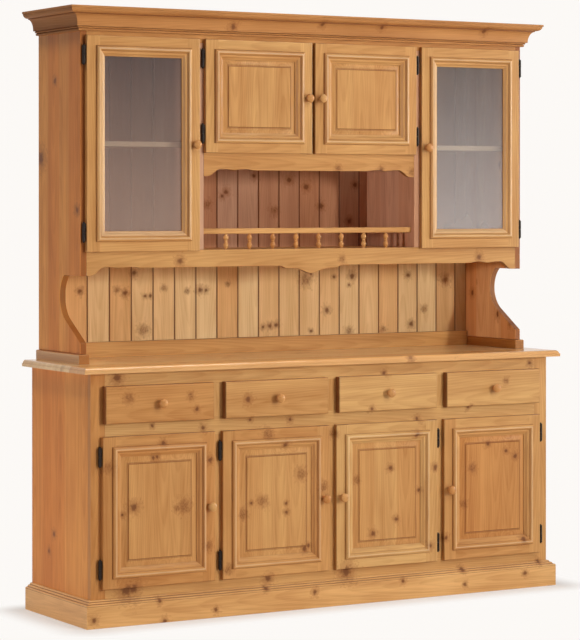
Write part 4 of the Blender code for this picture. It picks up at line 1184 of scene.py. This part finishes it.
# %% Panes
def pane_with_painted_reflection(name, low_z, high_z, above, below):
    """A painted reflection: a thin grey, from one grey at the head of the pane to another at its foot."""
    made, tree = new_finish(name)
    where = add_node(tree, "TexCoord").outputs["Object"]
    height = add_node(tree, "SeparateXYZ", {0: where}).outputs[2]
    fall = add_node(tree, "MapRange", {0: height, 1: high_z, 2: low_z, 3: 0.0, 4: 1.0}).outputs[0]
    drawn = add_node(tree, "VectorMath", {0: where, 1: (14.0, 14.0, 0.5)}, operation="MULTIPLY").outputs[0]
    streak = add_node(tree, "TexNoise", {"Vector": drawn, "Scale": 1.0, "Detail": 2.0}).outputs["Fac"]
    shade = calc(tree, "MULTIPLY_ADD", streak, 0.16, calc(tree, "ADD", fall, -0.08))
    grey = mix(tree, shade, (*above, 1.0), (*below, 1.0))
    cover = calc(tree, "MULTIPLY_ADD", streak, 0.03, 0.32)
    put_skin(tree, {"Base Color": grey, "Roughness": 0.03, "IOR": 1.5, "Alpha": cover})
    return made


panes = {
    "left": pane_with_painted_reflection("left_pane", *glazed_z, (0.130, 0.108, 0.108), (0.66, 0.47, 0.37)),
    "right": pane_with_painted_reflection("right_pane", *glazed_z, (0.22, 0.190, 0.175), (0.82, 0.765, 0.74)),
}
for side, pane_glass in panes.items():
    node = f"glazed_door_{side}_glass"
    pane = stock(f"pane_{side}", *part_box(node))
    ease_edges(pane, 0.0006)
    fit(glued(f"pane_{side}", [pane]), pane_glass, f"glazed_door_{side}", [node])
print("panes:", len(panes))

# %% [markdown]
# ## Hinges
# Every door hangs on two barrel hinges of dark, burnished iron. The lower half with its pin belongs to
# the case and the upper half to the door, so the two halves are turned apart and meet at a thin line.
# That way a door can swing and take only its own half with it.

# %% Hinges
def burnished_iron():
    made, tree = new_finish("burnished_iron")
    where = add_node(tree, "TexCoord").outputs["Object"]
    worn = add_node(tree, "TexNoise", {"Vector": where, "Scale": 160.0, "Detail": 4.0}).outputs["Fac"]
    tone = mix(tree, worn, (0.008, 0.005, 0.004, 1.0), (0.032, 0.020, 0.014, 1.0))
    rough = calc(tree, "MULTIPLY_ADD", worn, 0.3, 0.28)
    put_skin(tree, {"Base Color": tone, "Specular IOR Level": 0.12, "Roughness": rough})
    return made


iron = burnished_iron()
BARREL_R, HALF_LEN, SPLIT, RING_DEEP = 0.0058, 0.032, 0.00025, 0.0006
ring_r = BARREL_R - RING_DEEP
barrel = [(SPLIT, 0.0), (SPLIT, BARREL_R - 0.0004), (SPLIT + 0.0004, BARREL_R), (0.0035, BARREL_R)]
barrel += [(0.0040, ring_r), (0.0046, ring_r), (0.0051, BARREL_R)]
barrel += [(HALF_LEN - RING_DEEP, BARREL_R), (HALF_LEN, ring_r), (HALF_LEN + 0.0002, 0.0030)]
barrel += [(HALF_LEN + 0.0011, 0.0026), (HALF_LEN + 0.0022, 0.0033)]
barrel += [(HALF_LEN + 0.0034, 0.0028), (HALF_LEN + 0.0041, 0.0)]
HINGE_OUT, HINGE_FORWARD, HINGE_INSET, LEAF_T, LEAF_GAP = 0.008, 0.00875, 0.068, 0.0022, 0.001


def hinge_halves(edge, hand, front, z):
    """The upper halves of a door's two hinges, and the lower halves on its case."""
    x, y = edge + hand * HINGE_OUT, front - HINGE_FORWARD
    upper, lower = [], []
    for middle in (z[0] + HINGE_INSET, z[1] - HINGE_INSET):
        upper.append(turned("barrel", barrel, (x, y, middle), (0, 0, 1), (1, 0, 0), 20))
        lower.append(turned("barrel", barrel, (x, y, middle), (0, 0, -1), (1, 0, 0), 20))
        left, right = sorted((x, edge))
        near, far, half = LEAF_GAP, HALF_LEN - LEAF_GAP, LEAF_T / 2
        door_leaf = stock("leaf", (left, y - half, middle + near), (right, y + half, middle + far))
        case_leaf = stock("leaf", (x - half, y, middle - far), (x + half, front, middle - near))
        for leaf, halves in ((door_leaf, upper), (case_leaf, lower)):
            ease_edges(leaf, 0.0004)
            halves.append(leaf)
    return upper, lower


SIDES = ((-1, "left"), (1, "right"))
on_case, hung = [], []
for number, (left, right) in enumerate(base_door_x):
    hand = -1 if number < 2 else 1
    hung.append((f"base_door_{number + 1}", left if hand < 0 else right, hand, frame_y, base_door_z))
for hand, side in SIDES:
    hung.append((f"glazed_door_{side}", hand * GLAZED_X[1], hand, hutch_front, glazed_z))
    hung.append((f"centre_door_{side}", hand * CENTRE_X[1], hand, hutch_front, centre_z))
for body, edge, hand, front, z in hung:
    upper, lower = hinge_halves(edge, hand, front, z)
    fit(glued(body + "_hinges", upper), iron, body)
    on_case += lower
fit(glued("case_hinges", on_case), iron, "cabinet")
print("hinges:", 2 * len(hung))

# %% [markdown]
# ## Hutch sides and partitions
# Each end of the hutch is a wide panel whose front is scooped out between the counter and the
# cupboard. The outline is drawn once, cut out and given its thickness, its edges are rounded, and it
# is ripped into boards like the other panels. The sawn front edge is painted dark all along; on the
# straight part beside the doors this is painted shade.

# %% Sides of the hutch
SHOULDER_Z, FOOT_TOP = 1.1863, 0.9171
SCOOP_R, SCOOP_DEEP, SCOOP_TOP, SCOOP_TOE, SAWN_EDGE_DARK = 0.0945, 0.072, 52.0, -58.0, 0.95
END_SHARES = (0.27, 0.50, 0.76)
scoop_centre = (hutch_front + SCOOP_DEEP, SHOULDER_Z - SCOOP_R * math.sin(math.radians(SCOOP_TOP)))
scoop = arc(scoop_centre, (SCOOP_R, SCOOP_R), SCOOP_TOE, SCOOP_TOP, 28)
slope = math.tan(math.radians(90 + SCOOP_TOE))
toe = (hutch_front, scoop[0][1] - (scoop[0][0] - hutch_front) * slope)
end_outline = [(wall, FOOT_TOP + HAIR), (hutch_front, FOOT_TOP + HAIR), toe] + scoop
end_outline += [(hutch_front, SHOULDER_Z), (hutch_front, frieze_top), (wall, frieze_top)]


def in_scoop(spot):
    """Dark on the sawn front edge, straight or scooped; on the straight part it is painted shade."""
    within = hutch_half - HUTCH_SIDE_T + 0.002 < abs(spot.x) < hutch_half - 0.002
    return SAWN_EDGE_DARK if within and spot.y <= wall - 0.01 else 0.0


for side, name in SIDES:
    inside = side * (hutch_half - HUTCH_SIDE_T)
    panel = sawn("hutch_end", [(inside, y, z) for y, z in end_outline], (side * HUTCH_SIDE_T, 0, 0))
    ease_edges(panel, 0.0016, 3)
    cuts = [hutch_front + (wall - hutch_front) * share for share in END_SHARES]
    boards = [lay_grain(board, "z", "x", 0.0, stain_and_shade=in_scoop) for board in ripped(panel, "y", cuts)]
    finish = {"left": end_pine, "right": right_pine}[name]
    fit(glued(f"hutch_end_{name}", boards), finish, "cabinet", [f"hutch_side_{name}"])
print("scooped ends: 2")

# %% Partitions
PARTITION_X, PARTITION_T, LIT_EDGE = 0.4551, 0.0235, -0.08
floor_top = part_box("hutch_floor")[1].z


def on_front_edge(spot):
    """The front edge is painted a little paler than the walls of the niche: painted light."""
    return LIT_EDGE if spot.y < hutch_front + 0.0005 else 0.0


for side, name in SIDES:
    middle = side * PARTITION_X
    low = (middle - PARTITION_T / 2, hutch_front, floor_top + HAIR)
    high = (middle + PARTITION_T / 2, behind, cupboard_top - HAIR)
    boards = panel_boards("partition", low, high, "z", "x", 3, stain_and_shade=on_front_edge)
    fit(glued(f"partition_{name}", boards), niche_pine, "cabinet", [f"hutch_partition_{name}"])
print("partitions: 2")

# %% [markdown]
# ## Back boards
# The back is matchboard: narrow upright boards with a chamfer on each edge, so a V groove shows at
# every joint. Cutting grooves into one sheet would give the same lines, but separate boards also give
# each one its own colour, which is what the eye notices. The boards are parted behind the floor of the
# hutch, which hides the joint from the front, so that the shaded upper part can have a browner finish
# that is painted shade.

# %% Back boards
GROOVE, PITCH, FIRST_W = 0.003, 0.0882, 0.0735
low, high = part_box("hutch_back")
joints = [low.x]
place = low.x + FIRST_W
while place < high.x - 2 * GROOVE:
    joints.append(place)
    place += PITCH
joints.append(high.x)
parting = floor_top - 0.010
halves = {"lower": (low.z, parting), "upper": (parting, high.z)}
BARE_BACK = {"lower": 0.25, "upper": -0.5}
SHADOW_NEXT, SHADOW_LAST = 0.18, 0.42


def on_board(spot):
    """Painted shade in the grooves, a painted shadow on two boards at the right, and bare wood on the side
    to the wall.
    """
    if spot.y > high.y - SLACK:
        return BARE_BACK[part]
    if low.y + SLACK < spot.y < low.y + GROOVE:
        return PAINTED_GROOVE_SHADE
    if part == "lower" and spot.x > joints[-3]:
        return SHADOW_LAST if spot.x > joints[-2] else SHADOW_NEXT
    return 0.0


for part, (start, end) in halves.items():
    boards = []
    for left, right in zip(joints, joints[1:]):
        left, right = left + SLACK, right - SLACK
        board = stock("back_board", (left, low.y, start), (right, high.y, end))
        face = ("y", low.y)
        round_over(board, [(face, ("x", left)), (face, ("x", right))], GROOVE, 1)
        boards.append(lay_grain(board, "z", "y", stain_and_shade=on_board))
    finish = {"lower": back_pine, "upper": niche_pine}[part]
    fit(glued("matchboard_" + part, boards), finish, "cabinet", ["hutch_back"])
print("back boards:", 2 * (len(joints) - 1))

# %% [markdown]
# ## Feet and back rail
# The hutch stands on two flat feet with a rounded top edge, and a low rail runs along the counter under
# its back. Plain blocks would fill the same space, but a rounded edge catches a line of light and shows
# where one piece ends and the next begins.

# %% Feet and back rail
PAINTED_LIGHT_FOOT = -0.5


def on_outer_side(spot):
    """The outer side of a foot is painted as pale as the end above it: painted light."""
    return PAINTED_LIGHT_FOOT if abs(spot.x - outer) < 0.0005 else 0.0


for side, name in SIDES:
    low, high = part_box(f"hutch_foot_{name}")
    foot = stock("foot", low, high)
    top, ahead = ("z", high.z), ("y", low.y)
    round_over(foot, [(top, ahead), (top, ("x", low.x)), (top, ("x", high.x))], 0.004, 4)
    outer = low.x if side < 0 else high.x
    lay_grain(foot, "y", "z", 0.0, 0.5, on_outer_side)
    fit(glued(f"foot_{name}", [foot]), front_pine, "cabinet", [f"hutch_foot_{name}"])
low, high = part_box("hutch_back_rail")
back_rail = stock("back_rail", low, high)
round_over(back_rail, [(("z", high.z), ("y", low.y))], 0.003, 3)
back_rail = glued("back_rail", [lay_grain(back_rail, "x", "y")])
fit(back_rail, front_pine, "cabinet", ["hutch_back_rail"], tone=1.3)
print("feet and back rail set on the counter")

# %% [markdown]
# ## Scalloped rails
# Two rails have a cut lower edge: from a small block at each end the line sweeps up, runs over two
# shallow lobes with a point between them, and goes level. The apron also drops in two steps in its
# middle. A band saw cuts such a line from one drawn half, turned over for the other half.

# %% Apron and niche rail
BLOCK_W, OGEE_W, CUSP_AT, LOBE_END, LOBE_RISE = 0.017, 0.051, 0.127, 0.204, 0.0045


def scallop(end, flat, block_z):
    """From an end block up a wave, over a lobe to a point, and over a second lobe to the flat."""
    lobe = flat + LOBE_RISE
    start = BLOCK_W + OGEE_W
    points = [(end, block_z), (end + BLOCK_W, block_z)]
    points += s_curve(points[-1], (end + start, lobe), 10)
    for i in range(1, 7):
        fall = 1 - math.cos(math.pi / 2 * i / 6)
        points.append((end + start + (CUSP_AT - start) * i / 6, lobe - LOBE_RISE * fall))
    for i in range(1, 9):
        rise = LOBE_RISE * math.sin(math.pi * i / 8)
        points.append((end + CUSP_AT + (LOBE_END - CUSP_AT) * i / 8, flat + rise))
    return points


def scalloped_rail(name, half, top, node):
    lower = half + [(-x, z) for x, z in reversed(half) if x < 0]
    outline = lower + [(-half[0][0], top), (half[0][0], top)]
    rail = sawn(name, [(x, hutch_front, z) for x, z in outline], (0, RAIL_T, 0))
    ease_edges(rail, 0.0014)
    fit(glued(name, [lay_grain(rail, "x", "y")]), front_pine, "cabinet", [node])


APRON_RISE, STEP_FALL, DROP_FALL = 0.025, 0.0095, 0.0187
STEP_FROM, STEP_TO, DROP_FROM = -0.130, -0.103, -0.068
NICHE_RAIL_H, NICHE_BLOCK_H = 0.065, 0.0205
flat = SHOULDER_Z + APRON_RISE
step = flat - STEP_FALL
apron_half = scallop(-inner, flat, SHOULDER_Z) + [(STEP_FROM, flat)]
apron_half += s_curve(apron_half[-1], (STEP_TO, step), 8) + [(DROP_FROM, step)]
apron_half += s_curve(apron_half[-1], (0.0, step - DROP_FALL), 12)
scalloped_rail("apron_rail", apron_half, floor_top, "apron")
niche_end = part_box("niche_rail")[1].x
niche_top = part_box("niche_rail")[1].z
niche_flat = niche_top - NICHE_RAIL_H
niche_half = scallop(-niche_end, niche_flat, niche_flat - NICHE_BLOCK_H)
scalloped_rail("niche_scallop", niche_half, niche_top, "niche_rail")
print("scalloped rails: 2")

# %% [markdown]
# ## Gallery
# A low rail on eight turned spindles keeps plates from sliding out of the niche. The spindle swells
# twice between slim necks, with a fine ring between the swellings. It is turned once and copied along
# the rail.

# %% Gallery
GALLERY_BACK, RAIL_SIZE, SPINDLE_H, END_GAP, SPINDLES = 0.020, 0.020, 0.0545, 0.106, 8
SLIM_R, SWELL, RING_OUT, RING_HALF, PEG = 0.0046, 0.0052, 0.0022, 0.05, 0.004
gallery_y = hutch_front + GALLERY_BACK
foot_z = floor_top + HAIR
gallery_rail = stock(
    "gallery_rail", (-niche_end, gallery_y, foot_z + SPINDLE_H),
    (niche_end, gallery_y + RAIL_SIZE, foot_z + SPINDLE_H + RAIL_SIZE),
)
ease_edges(gallery_rail, 0.004, 3)
baluster = [(0.0, 0.0)]
for i in range(41):
    share = i / 40
    radius = SLIM_R + SWELL * math.sin(2 * math.pi * share) ** 2
    radius += RING_OUT * max(0.0, 1 - abs(share - 0.5) / RING_HALF)
    baluster.append((SPINDLE_H * share, radius))
baluster += [(SPINDLE_H + PEG, SLIM_R), (SPINDLE_H + PEG, 0.0)]
pitch = (2 * niche_end - 2 * END_GAP) / (SPINDLES - 1)
start = (-niche_end + END_GAP, gallery_y + RAIL_SIZE / 2, foot_z)
spindle = lay_grain(turned("spindle", baluster, start, (0, 0, 1), (1, 0, 0), 20), "z", "y", 0.0, 0.0)
parts = [lay_grain(gallery_rail, "x", "y", 0.0), spindle]
parts += [copied(spindle, "spindle", (pitch * i, 0, 0)) for i in range(1, SPINDLES)]
fit(glued("gallery_turned", parts), front_pine, "cabinet", ["gallery"])
print("spindles:", SPINDLES)

# %% [markdown]
# ## A flagged lamp
# The lamp on the left puts bars of shade on the right wall of the niche, yet the mouldings on the doors
# stay dark on their left. In a studio, black flags keep such a lamp off the front. Light linking does
# the same here: the lamp reaches only the pieces that it is linked to.

# %% Flags for the left lamp
flagged = bpy.data.collections.new("lit_from_the_left")
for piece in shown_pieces():
    if piece.name.startswith(("partition", "hutch_end_right", "gallery", "hutch_floor")):
        flagged.objects.link(piece)
left_spot.light_linking.receiver_collection = flagged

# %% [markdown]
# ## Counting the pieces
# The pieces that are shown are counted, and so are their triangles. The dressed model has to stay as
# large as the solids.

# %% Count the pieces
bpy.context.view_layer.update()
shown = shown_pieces()
print("pieces:", len(shown), "triangles:", sum(len(p.vertices) - 2 for o in shown for p in o.data.polygons))
